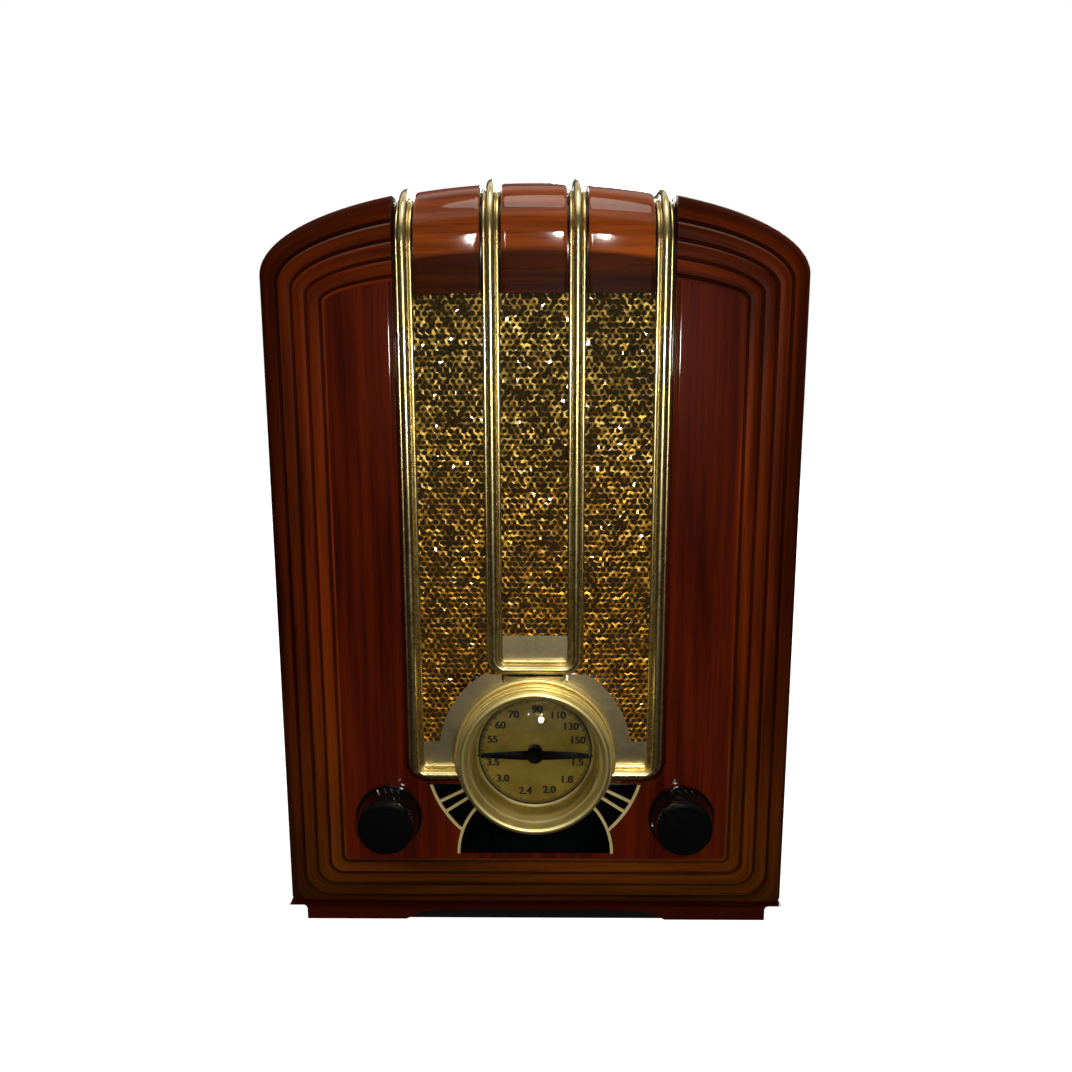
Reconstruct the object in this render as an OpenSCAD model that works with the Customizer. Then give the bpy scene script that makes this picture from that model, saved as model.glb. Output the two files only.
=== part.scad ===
// Table radio of the 1930s: arched wooden cabinet, brass bars over a perforated grille, round dial.
// Front of the set faces -Y, up is +Z, millimetres. The origin is under the middle of the whole set.

/* [Cabinet] */
// Width of the cabinet
cab_w = 280; // [260:1:300]
// Height of the woodwork above the table
cab_h = 404; // [380:1:420]
// Depth of the cabinet, front face to back edge
cab_d = 200; // [185:1:230]
// Rise of the arched roof above its springing line
arch_rise = 45.5; // [40:0.5:50]
// Thickness of the side panels and the roof
wall_t = 9; // [7:0.5:11]
// Thickness of the front board and its moulding
front_t = 14; // [12:0.5:16]
// Height of the foot under the body
foot_h = 11; // [10:0.5:13]
// How far the foot stands in from the body
foot_in = 9; // [6:0.5:11]
// Height of the arched cut-out in the foot
skirt_rise = 6.2; // [4:0.1:7]
// Half width of the arched cut-out in the foot
skirt_half = 74; // [60:1:90]
// Thickness of the foot rails
rail_t = 18; // [14:1:20]
// Thickness of the floor board
floor_t = 5; // [4:0.5:6]

/* [Reeded moulding] */
// Width of the moulding that frames the front board
mould_w = 34; // [33:0.5:36]
// Radius of the roll along its outer edge
roll_r = 9; // [7:0.5:9]
// Distance from the outer edge to the first groove
groove_first = 10; // [9.8:0.1:11]
// Pitch of the four grooves
groove_pitch = 7.3; // [7:0.1:7.6]
// Half width of a groove
groove_half = 0.9; // [0.6:0.1:1.2]
// Depth of a groove
groove_deep = 1.7; // [1:0.1:2.4]
// Crown of the reeds between the grooves
reed_crown = 0.4; // [0.2:0.1:0.7]

/* [Hood] */
// Distance of the hood's straight lower edge below the crown
hood_drop = 54.5; // [50:0.5:58]
// Radius of the rounded front edge of the hood
hood_r = 27; // [20:1:29]
// How far the hood runs back over the roof
hood_back = 44; // [36:1:60]
// How far the hood stands above the shoulders
hood_raise = 2; // [1:0.1:3]
// Width of the slots in the hood that the bars run in
slot_w = 10.8; // [10:0.1:12]

/* [Bars] */
// Distance of the inner bars from the middle
bar_in_x = 22; // [20:0.5:24]
// Distance of the outer bars from the middle
bar_out_x = 66; // [64:0.5:68]
// Width of a bar
bar_w = 9; // [8:0.1:9.6]
// Height of a bar above the grille
bar_h = 8.2; // [7.6:0.1:9]
// Radius of the bar's crest
crest_r = 2.3; // [1.8:0.1:2.8]
// Bend radius of the bars' lower corners, on the centre line
bend_r = 6.5; // [5.5:0.1:8]
// Height of the middle of the inner bars' lower run over the bezel
u_over = 4.8; // [4.6:0.1:7]
// Height of the middle of the outer bars' arms
arm_z = 91; // [89:0.5:94]

/* [Grille] */
// Depth of the grille behind the front face
grille_y = 6; // [5:0.5:7]
// Thickness of the grille sheet
grille_t = 1; // [0.8:0.1:1.4]
// Across-corners radius of a perforation
perf_r = 3.9; // [3:0.1:4.2]
// Pitch of the perforations
perf_pitch = 9.2; // [9:0.1:12]
// Thickness of the smooth brass surround
surround_t = 0.8; // [0.6:0.1:1.2]
// Radius of the smooth ring round the bezel
surround_r = 53; // [50:0.5:56]

/* [Dial] */
// Height of the dial's centre
dial_z = 102.5; // [101:0.5:104]
// Outer radius of the bezel
bezel_r = 44.5; // [43:0.5:45.5]
// Radius of the bezel's rounded crest
bezel_crest_r = 39; // [38:0.1:39.4]
// Height of the bezel above the front face
bezel_h = 13.5; // [11:0.5:14]
// Radius of the dial glass
glass_r = 35.8; // [34:0.1:36]
// Rise of the domed glass
glass_rise = 9.5; // [7:0.5:10]
// Thickness of the glass
glass_t = 1.5; // [1:0.1:2]
// Radius of the visible dial
dial_r = 31.5; // [29:0.5:32]
// Radius of the dial plate
dial_plate_r = 38; // [36:0.5:38.2]
// Thickness of the dial plate
dial_plate_t = 1; // [0.8:0.1:1.4]
// Length of the pointer from the centre to a tip
pointer_l = 31.5; // [28:0.5:32]
// Thickness of the pointer
pointer_t = 0.9; // [0.6:0.1:1.2]

/* [Apron] */
// Height of the apron's lower edge
apron_z = 44.5; // [42:0.5:47]
// Radius of the apron's fan, about the dial
fan_r = 60.5; // [57:0.5:63]
// Radius of the apron's arched middle, about its lower edge
arch_r = 43.5; // [40:0.5:46]
// Thickness of the apron
apron_t = 1; // [0.8:0.1:1.4]
// Width of the raised lines
line_w = 1.6; // [1.2:0.1:2]
// Height of the raised lines above the apron
line_h = 0.7; // [0.5:0.1:1]

/* [Knobs] */
// Distance of the knobs from the middle
knob_x = 81; // [76:0.5:86]
// Height of the knobs' centres
knob_z = 67; // [65:0.5:69]
// Radius of a knob
knob_r = 18.2; // [16:0.1:20]
// Height of a knob
knob_h = 17; // [14:0.5:20]
// Gap between a knob and the front
knob_gap = 1.2; // [0.8:0.1:2]
// Radius of a flute in the knob's rim
flute_r = 1.1; // [0.8:0.1:1.3]
// Radius of the control shafts
shaft_r = 3.175; // [3:0.005:3.3]
// Running clearance of a shaft in its bush
run_gap = 0.05; // [0.02:0.01:0.09]

/* [Chassis] */
// Gap between the chassis and the outer face of a side
chassis_side = 22; // [18:1:26]
// Distance of the chassis behind the front face
chassis_y = 32; // [30:0.5:34]
// Gap between the chassis and the cabinet's back edge
chassis_back = 8; // [7:0.5:12]
// Height of the chassis deck above the table
deck_z = 84; // [82.5:0.5:88]
// Thickness of the chassis sheet
sheet_t = 1.2; // [1:0.1:1.6]
// Radius of the volume control's can
pot_r = 11.5; // [10:0.1:12]
// Depth of the volume control's can
pot_l = 14; // [12:0.5:18]
// Outer radius of the shaft bushes
bush_r = 4.7; // [4.4:0.1:5.2]

/* [Tuning] */
// Radius of the drive drum
drum_r = 29; // [26:0.5:30]
// Width of the drive drum
drum_w = 7; // [6:0.5:8]
// Distance of the drum behind the front face
drum_y = 17; // [16.5:0.5:18]
// Depth of the cord groove in the drum
drum_groove = 2; // [1.5:0.1:2.5]
// Radius of the spindle where the cord runs
spindle_r = 2.6; // [2.4:0.05:2.8]
// Thickness of the drive cord
cord_t = 1.1; // [0.9:0.1:1.3]
// Clearance of the cord in its grooves
cord_gap = 0.1; // [0.06:0.02:0.14]
// Radius of the rotor plates
rotor_r = 16.5; // [15:0.1:16.8]
// Number of rotor plates
rotor_count = 12; // [8:1:13]
// Pitch of the rotor plates
rotor_pitch = 3.4; // [3.2:0.1:3.6]
// Thickness of the capacitor's plates
plate_t = 0.7; // [0.6:0.05:0.9]
// Distance of the tuning capacitor behind the front face
gang_y = 42; // [41:0.5:44]
// Half width of the capacitor's frame
gang_half = 22; // [21:0.5:24]
// Depth of the capacitor's frame below its shaft
gang_drop = 20.5; // [20:0.1:21]

/* [Speaker] */
// Radius of the speaker's rim
speaker_r = 70; // [64:1:74]
// Depth of the speaker's basket
basket_l = 40; // [34:1:48]
// Radius of the field coil
field_r = 27; // [24:1:32]
// Length of the field coil
field_l = 42; // [34:1:50]
// Thickness of the baffle board
baffle_t = 8; // [6:0.5:10]

/* [Valves] */
// Radius of a valve's bulb
bulb_r = 18; // [16:0.5:20]
// Height of a valve's bulb
bulb_h = 72; // [60:1:80]
// Radius of a valve's base
base_r = 14; // [12:0.5:15]
// Height of a valve's base
base_h = 24; // [18:1:26]
// Width of a square coil can
can_w = 32; // [28:1:34]
// Height of a square coil can
can_h = 70; // [60:1:80]
// Width of the power transformer
power_w = 62; // [54:1:66]
// Depth of the power transformer
power_d = 54; // [48:1:58]
// Height of the power transformer
power_h = 58; // [50:1:64]
// Radius of the electrolytic can
smooth_r = 16; // [14:0.5:18]
// Height of the electrolytic can
smooth_h = 74; // [60:1:84]

/* [Hidden] */
$fn = 64;

wood_front = "#7a2a0c";
wood_side = "#6b2409";
wood_pale = "#b98a55";
brass = "#c9a860";
gold = "#a5853f";
black = "#14181a";
steel = "#9ea2a4";
tin = "#b9bcbd";

// What stands in front of the cabinet is balanced about the origin by moving the cabinet back.
front_proud = knob_gap + knob_h;
fy = (front_proud - cab_d) / 2;
by = fy + cab_d;
half_w = cab_w / 2;
hood_z = cab_h - hood_drop;
spring_z = cab_h - arch_rise;
u_z = dial_z + bezel_r + u_over;
seam = 0.02;

// The contour at a distance d inside the outline: an ellipse that tightens, straight sides, round corners.
// The factors say how much of d goes off the arch, its springing, the sill and the corners.
arch_shrink = 0.91;
spring_sink = 0.4;
roll_lift = 0.66;
sill_lift = 0.96;
corner_least = 2;
corner_grow = 1.2;
corner_shrink = 0.48;
function ell_a(d) = half_w - d;
function ell_b(d) = arch_rise - arch_shrink * d;
function ell_z(d) = spring_z - spring_sink * d;
function arch_top(x, d) = ell_z(d) + ell_b(d) * sqrt(max(0, 1 - pow(x / ell_a(d), 2)));
function corner_r(d) = corner_least + corner_grow * min(d, groove_first)
    - corner_shrink * max(d - groove_first, 0);
function sill_z(d) = foot_h + roll_lift * min(d, groove_first) + sill_lift * max(d - groove_first, 0);

// Points of a contour, from the hood's right edge over the top, clockwise, to its left edge.
function contour(d, edge_x, arch_n = 14, corner_n = 5) =
    let (a = ell_a(d), t0 = acos(edge_x / a), r = corner_r(d), z0 = sill_z(d))
    let (right = concat(
        [for (i = [0 : arch_n]) let (t = t0 * (1 - i / arch_n))
            [a * cos(t), ell_z(d) + ell_b(d) * sin(t)]],
        [for (i = [0 : corner_n]) let (t = -90 * i / corner_n)
            [a - r + r * cos(t), z0 + r + r * sin(t)]]))
    let (n = len(right))
    concat(right, [for (i = [0 : n - 1]) [-right[n - 1 - i][0], right[n - 1 - i][1]]]);

// A solid through rings of points that have equal lengths, closed by its two end rings.
module loft(rings) {
    n = len(rings[0]);
    m = len(rings);
    points = [for (ring = rings) each ring];
    sides = [for (i = [0 : m - 2], j = [0 : n - 1]) let (k = (j + 1) % n)
        each [[i * n + j, i * n + k, (i + 1) * n + j], [i * n + k, (i + 1) * n + k, (i + 1) * n + j]]];
    first = [for (j = [0 : n - 1]) n - 1 - j];
    last = [for (j = [0 : n - 1]) (m - 1) * n + j];
    polyhedron(points = points, faces = concat(sides, [first, last]), convexity = 8);
}

// A flat shape, drawn in X and Z, as a slab from y0 to y1.
module slab(y0, y1) {
    translate([0, y1, 0]) rotate([90, 0, 0]) linear_extrude(y1 - y0) children();
}

// A shape drawn in Y and Z, run along X from x0 to x1.
module run_x(x0, x1) {
    translate([x0, 0, 0]) rotate([90, 0, 90]) linear_extrude(x1 - x0) children();
}

// A profile drawn as radius and depth, turned about a line along Y.
module spun(x, z) {
    translate([x, fy, z]) rotate([-90, 0, 0]) rotate_extrude($fn = 96) children();
}

// A cylinder along Y, from depth y0 to y1 behind the front face.
module rod_y(x, z, r, y0, y1) {
    translate([x, fy + y0, z]) rotate([-90, 0, 0]) cylinder(r = r, h = y1 - y0);
}

module box(x0, x1, y0, y1, z0, z1) {
    translate([x0, y0, z0]) cube([x1 - x0, y1 - y0, z1 - z0]);
}

// Depth profile of the moulding: back, outer roll, four grooves with crowned reeds, inner edge.
groove_at = [for (i = [0 : 3]) groove_first + i * groove_pitch];
roll_steps = 5;
mould_profile = concat(
    [[0, front_t]],
    [for (i = [0 : roll_steps]) let (t = 90 * i / roll_steps)
        [roll_r * (1 - cos(t)), roll_r * (1 - sin(t))]],
    [for (i = [0 : 3]) each [
        [groove_at[i] - groove_half, i == 0 ? 0 : reed_crown],
        [groove_at[i], groove_deep],
        [groove_at[i] + groove_half, reed_crown],
        if (i < 3) [groove_at[i] + groove_pitch / 2, 0]]],
    [[mould_w, reed_crown], [mould_w, front_t]]);
hood_edge = bar_out_x + slot_w / 2;

module front_moulding() {
    lines = [for (p = mould_profile) [for (q = contour(p[0], hood_edge)) [q[0], fy + p[1], q[1]]]];
    color(wood_front) loft([for (j = [0 : len(lines[0]) - 1]) [for (line = lines) line[j]]]);
}

// The board inside the moulding, its window with a ledge for the grille, and the seats of the dial.
window_z = arm_z - bar_w / 2;
window_r = bend_r + bar_w / 2;
window_gap = 0.3;
ledge_w = 9;
module tub(half, low, round_r) {
    translate([-half, low + round_r]) square([2 * half, cab_h]);
    translate([-half + round_r, low]) square([2 * (half - round_r), cab_h]);
    for (s = [-1, 1]) translate([s * (half - round_r), low + round_r]) circle(r = round_r);
}

module window(inset) {
    tub(hood_edge - inset, window_z + inset, window_r + window_gap - inset);
}

// What is planed off the window's edges to round them: across the edge and back from the face.
edge_r = 3;
module edge_waste() {
    difference() {
        translate([-1, reed_crown - 1]) square(edge_r + 1);
        translate([edge_r, edge_r + reed_crown]) circle(r = edge_r);
    }
}

module front_board() {
    color(wood_front) difference() {
        slab(fy + reed_crown, fy + front_t) polygon(contour(mould_w, hood_edge));
        slab(fy - 1, fy + grille_y + grille_t) window(0);
        slab(fy + grille_y, fy + front_t + 1) window(ledge_w);
        box(-hood_edge, hood_edge, fy - 1, fy + front_t + 1, hood_z, cab_h);
        for (s = [0, 1]) mirror([s, 0, 0]) translate([hood_edge, fy, window_z + window_r])
            linear_extrude(cab_h) edge_waste();
        rod_y(0, dial_z, bezel_r + window_gap, -1, grille_y);
        rod_y(0, dial_z, dial_plate_r + window_gap, -1, front_t + 1);
        for (s = [-1, 1]) rod_y(s * knob_x, knob_z, bush_r + 1.3, -1, front_t + 1);
    }
}

// Height of the hood over x, and the outline of one slice of it, sunk by the given depth.
hood_y = 0.4;
hood_thick = wall_t + hood_raise;
arc_n = 9;
function hood_top(x) = arch_top(x, 0) + hood_raise;
function hood_slice(x, sink) =
    let (top = hood_top(x), r = hood_r - sink, yc = fy + hood_y + hood_r, zc = top - hood_r)
    concat(
        [[yc - r, hood_z]],
        [for (i = [0 : arc_n]) let (t = 180 - 90 * i / arc_n) [yc + r * cos(t), zc + r * sin(t)]],
        [[fy + hood_back, zc + r], [fy + hood_back, top - hood_thick],
         [fy + front_t, top - hood_thick], [fy + front_t, hood_z]]);

module hood_block(x0, x1, steps) {
    xs = [for (i = [0 : steps]) x0 + (x1 - x0) * i / steps];
    color(wood_front)
        loft([for (x = xs) [for (p = hood_slice(x, 0)) [x, p[0], p[1]]]]);
}

module hood_left() {
    hood_block(-bar_out_x + slot_w / 2, -bar_in_x - slot_w / 2, 5);
}

module hood_centre() {
    hood_block(-bar_in_x + slot_w / 2, bar_in_x - slot_w / 2, 5);
}

module hood_right() {
    hood_block(bar_in_x + slot_w / 2, bar_out_x - slot_w / 2, 5);
}

// The slots' floors carry the bars: their outer face is level with the grille.
bed_sink = grille_y - hood_y;
bar_at = [-bar_out_x, -bar_in_x, bar_in_x, bar_out_x];
module bar_beds() {
    color(wood_front) for (x = bar_at)
        run_x(x - slot_w / 2, x + slot_w / 2) polygon(hood_slice(abs(x), bed_sink));
}

// Sides, roof and floor of the shell, behind the front board.
module side_panel(s) {
    color(wood_side) mirror([s < 0 ? 1 : 0, 0, 0])
        box(half_w - wall_t, half_w, fy + front_t, by, foot_h, spring_z);
}

module side_left() {
    side_panel(-1);
}

module side_right() {
    side_panel(1);
}

roof_n = 24;
function roof_arc(a, b) = [for (i = [0 : roof_n]) let (t = 180 * i / roof_n)
    [a * cos(t), spring_z + b * sin(t)]];
module roof() {
    color(wood_side) difference() {
        slab(fy + front_t, by) difference() {
            polygon(roof_arc(half_w, arch_rise));
            polygon(concat(roof_arc(half_w - wall_t, arch_rise - wall_t), [[0, spring_z - 1]]));
        }
        box(-hood_edge, hood_edge, fy, fy + hood_back, spring_z, cab_h + 1);
    }
}

floor_z = foot_h - floor_t;
foot_half = half_w - foot_in;
module floor_board() {
    color(wood_pale) difference() {
        box(-foot_half + rail_t, foot_half - rail_t, fy + rail_t + foot_step, by - rail_t,
            floor_z, foot_h);
        for (p = bolt_at) translate([p[0], p[1], 0]) cylinder(r = bolt_r + bolt_gap, h = 2 * foot_h);
    }
}

// The foot: a plinth with a hollow moulding under the body, mitred at the front corners.
foot_step = 5;
cove_h = 4.6;
cove_n = 6;
function cove(face, reach) = [for (i = [0 : cove_n]) let (t = 90 * i / cove_n)
    [face + reach * (1 - cos(t)), foot_h - cove_h * (1 - sin(t))]];
skirt_n = 20;
function skirt_arch() = [for (i = [0 : skirt_n]) let (u = 2 * i / skirt_n - 1)
    [skirt_half * u, skirt_rise * sqrt(1 - pow(abs(u), 6))]];

module foot_front() {
    color(wood_front) intersection() {
        slab(fy, fy + foot_step + rail_t) difference() {
            polygon(concat(
                [[-foot_half, 0], [foot_half, 0]],
                cove(foot_half, foot_in),
                [for (i = [cove_n : -1 : 0]) let (p = cove(foot_half, foot_in)[i]) [-p[0], p[1]]]));
            polygon(concat([[-skirt_half, -1]], skirt_arch(), [[skirt_half, -1]]));
        }
        run_x(-half_w - 1, half_w + 1) polygon(concat(
            [[fy + foot_step, 0]],
            [for (p = cove(0, foot_step - 1)) [fy + foot_step - p[0], p[1]]],
            [[fy + foot_step + rail_t, foot_h], [fy + foot_step + rail_t, 0]]));
    }
}

module foot_side(s) {
    color(wood_side) mirror([s < 0 ? 1 : 0, 0, 0]) slab(fy + foot_step + rail_t, by)
        polygon(concat([[foot_half - rail_t, 0], [foot_half, 0]], cove(foot_half, foot_in),
            [[foot_half - rail_t, foot_h]]));
}

module foot_left() {
    foot_side(-1);
}

module foot_right() {
    foot_side(1);
}

module foot_back() {
    color(wood_side)
        box(-foot_half + rail_t, foot_half - rail_t, by - rail_t, by, 0, foot_h);
}

// Square posts glued into the corners between the front board and the sides.
post_w = 11;
module corner_blocks() {
    color(wood_pale) for (s = [0, 1]) mirror([s, 0, 0])
        box(half_w - wall_t - post_w, half_w - wall_t, fy + front_t, fy + front_t + post_w,
            foot_h, spring_z);
}

// The board behind the grille that carries the speaker.
baffle_in = 44;
baffle_under = 6;
baffle_half = half_w - baffle_in;
baffle_z0 = u_z - baffle_under;
speaker_hole = 6.5;
speaker_z = (baffle_z0 + hood_z) / 2;
module baffle_board() {
    color(wood_pale) difference() {
        box(-baffle_half, baffle_half, fy + front_t, fy + front_t + baffle_t, baffle_z0, hood_z);
        rod_y(0, speaker_z, speaker_r - speaker_hole, front_t - 1, front_t + baffle_t + 1);
    }
}

// Section of a bar, as offset across it and height above the grille: flange, side beads, round crest.
flange_h = 3;
bead_r = 1.1;
half_bar = bar_w / 2;
arc_steps = 4;
bar_half_section = concat(
    [[half_bar, 0], [half_bar, flange_h - bead_r]],
    [for (i = [0 : arc_steps]) let (t = 180 * i / arc_steps)
        [half_bar - bead_r + bead_r * cos(t), flange_h - bead_r + bead_r * sin(t)]],
    [for (i = [0 : arc_steps]) let (t = 90 * i / arc_steps)
        [crest_r * cos(t), bar_h - crest_r + crest_r * sin(t)]]);
bar_section = concat(bar_half_section,
    [for (i = [len(bar_half_section) - 2 : -1 : 0]) [-bar_half_section[i][0], bar_half_section[i][1]]]);
bar_y = fy + grille_y;

// A bar up the front from z0, over the hood's rounded edge and back along the hood.
module bar_up(x, z0) {
    yc = fy + hood_y + hood_r;
    zc = hood_top(abs(x)) - hood_r;
    bed_r = hood_r - bed_sink;
    translate([0, 0, z0]) linear_extrude(zc - z0)
        polygon([for (p = bar_section) [x + p[0], bar_y - p[1]]]);
    translate([x, yc, zc]) rotate([90, 0, 90]) rotate([0, 0, 90])
        rotate_extrude(angle = 90, $fn = 96) polygon([for (p = bar_section) [bed_r + p[1], p[0]]]);
    slab(yc, fy + hood_back) polygon([for (p = bar_section) [x + p[0], zc + bed_r + p[1]]]);
}

// A quarter bend in the plane of the grille, from the angle a0 about its centre.
module bar_bend(x, z, a0) {
    translate([x, bar_y, z]) rotate([90, 0, 0]) rotate([0, 0, a0])
        rotate_extrude(angle = 90, $fn = 96) polygon([for (p = bar_section) [bend_r + p[0], p[1]]]);
}

module bar_across(x0, x1, z) {
    run_x(x0, x1) polygon([for (p = bar_section) [bar_y - p[1], z + p[0]]]);
}

module outer_bar() {
    difference() {
        union() {
            bar_up(bar_out_x, arm_z + bend_r);
            bar_bend(bar_out_x - bend_r, arm_z + bend_r, 270);
            bar_across(bezel_r / 2, bar_out_x - bend_r, arm_z);
        }
        rod_y(0, dial_z, bezel_r + seam, -bar_h, grille_y + 1);
    }
}

module outer_bar_left() {
    color(brass) mirror([1, 0, 0]) outer_bar();
}

module outer_bar_right() {
    color(brass) outer_bar();
}

// The two inner bars are one casting: they join under the grille in a U with a stepped link below it.
link_half = 15;
link_h = [6.4, 4.4];
link_step = 2;
module inner_bars() {
    u_low = u_z - half_bar;
    color(brass) {
        for (s = [-1, 1]) bar_up(s * bar_in_x, u_z + bend_r);
        bar_bend(bar_in_x - bend_r, u_z + bend_r, 270);
        bar_bend(-bar_in_x + bend_r, u_z + bend_r, 180);
        bar_across(-bar_in_x + bend_r, bar_in_x - bend_r, u_z);
        difference() {
            union() for (i = [0, 1])
                box(-link_half - link_step * i, link_half + link_step * i, bar_y - link_h[i], bar_y,
                    dial_z, u_low);
            rod_y(0, dial_z, bezel_r + seam, -bar_h, grille_y + 1);
        }
    }
}

// The perforated sheet stands on the window's ledge, under the bars and the surround.
row_step = perf_pitch * sqrt(3) / 2;
perf_rows = floor((hood_z - window_z) / row_step);
perf_cols = floor((bar_out_x - half_bar) / perf_pitch);
bezel_ring = 3;
function under_bar(x, z) =
    abs(abs(x) - bar_in_x) < half_bar + perf_r - 1 && z > u_z - half_bar
    || abs(x) < bar_in_x && z < u_z + half_bar + surround_step
    || abs(x) > bar_out_x - half_bar - perf_r
    || z < arm_z + half_bar + surround_step
    || norm([x, z - dial_z]) < surround_r + perf_r;
surround_step = 13;
module grille() {
    color(gold) slab(fy + grille_y, fy + grille_y + grille_t) difference() {
        intersection() {
            window(window_gap);
            square([cab_w, 2 * hood_z], center = true);
        }
        translate([0, dial_z]) circle(r = bezel_r + 2 * window_gap);
        for (j = [1 : perf_rows], i = [-perf_cols : perf_cols]) {
            x = (i + (j % 2) / 2) * perf_pitch;
            z = hood_z - j * row_step;
            if (!under_bar(x, z)) translate([x, z]) rotate(30) circle(r = perf_r, $fn = 6);
        }
    }
}

// Smooth brass round the bezel, at the feet of the side columns and in the bottom of the U.
module grille_surround() {
    column_in = bar_in_x - half_bar;
    side_out = bar_out_x - half_bar;
    inner_r = bend_r - half_bar;
    color(brass) slab(fy + grille_y - surround_t, fy + grille_y) difference() {
        union() {
            intersection() {
                tub(side_out, arm_z + half_bar, inner_r);
                union() {
                    translate([0, dial_z]) circle(r = surround_r);
                    square([2 * side_out, 2 * (arm_z + half_bar + surround_step)], center = true);
                }
            }
            intersection() {
                tub(column_in, u_z + half_bar, inner_r);
                square([2 * side_out, 2 * (u_z + half_bar + surround_step)], center = true);
            }
        }
        translate([0, dial_z]) circle(r = bezel_r + seam);
        translate([-link_half - 1.5 * link_step, dial_z])
            square([2 * link_half + 3 * link_step, u_z - dial_z - half_bar]);
        for (s = [-1, 1]) translate([s * bar_in_x, u_z + bend_r + cab_h / 2])
            square([bar_w, cab_h], center = true);
        translate([-bar_in_x - half_bar, u_z - half_bar]) square([2 * bar_in_x + bar_w, bar_w]);
    }
}

// Bezel: back rim, outer bead, stepped flank, rounded crest, ledge for the glass, dished inner wall.
bead_out = 1.1;
bead_n = 4;
crest_round = 1.9;
crest_n = 8;
flank_steps = 3;
bezel_back = grille_y;
glass_seat = 4.6;
glass_ledge = 1.6;
module dial_bezel() {
    crest_y = crest_round - bezel_h;
    flank_r = bezel_r - 2 * bead_out;
    step_in = (flank_r - bezel_crest_r - crest_round) / flank_steps;
    step_up = (bezel_h - crest_round - bead_out) / flank_steps;
    color(brass) spun(0, dial_z) polygon(concat(
        [[dial_r, bezel_back], [bezel_r, bezel_back], [bezel_r, -bead_out]],
        [for (i = [1 : bead_n]) let (t = 180 * i / bead_n)
            [bezel_r - bead_out + bead_out * cos(t), -bead_out - bead_out * sin(t)]],
        [for (i = [0 : flank_steps - 1]) each [
            [flank_r - step_in * i, -bead_out - step_up * (i + 0.8)],
            [flank_r - step_in * (i + 1), -bead_out - step_up * (i + 1)]]],
        [for (i = [1 : crest_n]) let (t = 180 * i / crest_n)
            [bezel_crest_r + crest_round * cos(t), crest_y - crest_round * sin(t)]],
        [[glass_r + seam, crest_y + glass_seat], [glass_r - glass_ledge, crest_y + glass_seat]]));
}

// The glass is a shallow dome that sits on the bezel's ledge.
module dial_glass() {
    seat_y = crest_round - bezel_h + glass_seat;
    ball = (glass_r * glass_r + glass_rise * glass_rise) / (2 * glass_rise);
    span = asin(glass_r / ball);
    inner_y = seat_y - (ball - glass_t) * (1 - cos(span));
    n = 16;
    color("#d8e0dc", 0.35) spun(0, dial_z) polygon(concat(
        [for (i = [0 : n]) let (t = span * i / n)
            [ball * sin(t), seat_y - glass_t - glass_rise + ball * (1 - cos(t))]],
        [for (i = [n : -1 : 0]) let (t = span * i / n)
            [(ball - glass_t) * sin(t), inner_y + (ball - glass_t) * (1 - cos(t))]]));
}

module dial_plate() {
    color("#a89458")
        difference() {
            rod_y(0, dial_z, dial_plate_r, bezel_back, bezel_back + dial_plate_t);
            rod_y(0, dial_z, shaft_r + 1, 0, front_t);
        }
}

// Black fan under the bezel: two outer sectors of a disc about the dial, and an arch on the lower edge.
apron_y = reed_crown - apron_t;
apron_top = window_z - 1;
module apron_shape(fan, arch) {
    difference() {
        intersection() {
            union() {
                translate([0, dial_z]) circle(r = fan);
                translate([0, apron_z]) circle(r = arch);
            }
            translate([-cab_w / 2, apron_z]) square([cab_w, apron_top - apron_z]);
        }
        translate([0, dial_z]) circle(r = bezel_r + seam);
    }
}

module apron() {
    color(black) slab(fy + apron_y, fy + reed_crown) apron_shape(fan_r, arch_r);
}

// Raised brass lines: the fan's rim, the arch's rim and two spokes on each side.
spoke_angles = [27, 33.5];
module apron_lines() {
    color(brass) slab(fy + apron_y - line_h, fy + apron_y) intersection() {
        apron_shape(fan_r, arch_r);
        union() {
            difference() {
                translate([0, dial_z]) circle(r = fan_r);
                translate([0, dial_z]) circle(r = fan_r - line_w);
                translate([0, apron_z]) circle(r = arch_r - line_w / 2);
            }
            difference() {
                translate([0, apron_z]) circle(r = arch_r);
                translate([0, apron_z]) circle(r = arch_r - line_w);
            }
            difference() {
                for (s = [0, 1], a = spoke_angles) mirror([s, 0]) translate([0, dial_z]) rotate(-a)
                    translate([bezel_r - 1, -line_w / 2]) square([fan_r - bezel_r, line_w]);
                translate([0, apron_z]) circle(r = arch_r - line_w / 2);
            }
        }
    }
}

// Speaker: pressed basket with windows, paper cone, field coil on its back and transformer on top.
basket_y = front_t + baffle_t;
basket_t = 1.2;
rim_in = 8;
throat_r = 20;
window_n = 6;
module speaker_basket() {
    back_y = basket_y + basket_l;
    color(steel) difference() {
        spun(0, speaker_z) polygon([
            [speaker_r - rim_in, basket_y], [speaker_r, basket_y], [speaker_r, basket_y + basket_t],
            [speaker_r - rim_in + 1, basket_y + basket_t], [field_r + 4, back_y],
            [shaft_r, back_y], [shaft_r, back_y - basket_t], [field_r + 3, back_y - basket_t]]);
        slab(fy + basket_y + basket_t + 4, fy + back_y - basket_t - 3) translate([0, speaker_z])
            for (i = [0 : window_n - 1]) rotate(i * 360 / window_n) polygon([
                [throat_r, -throat_r / 3], [speaker_r, -speaker_r / 3],
                [speaker_r, speaker_r / 3], [throat_r, throat_r / 3]]);
    }
}

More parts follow.
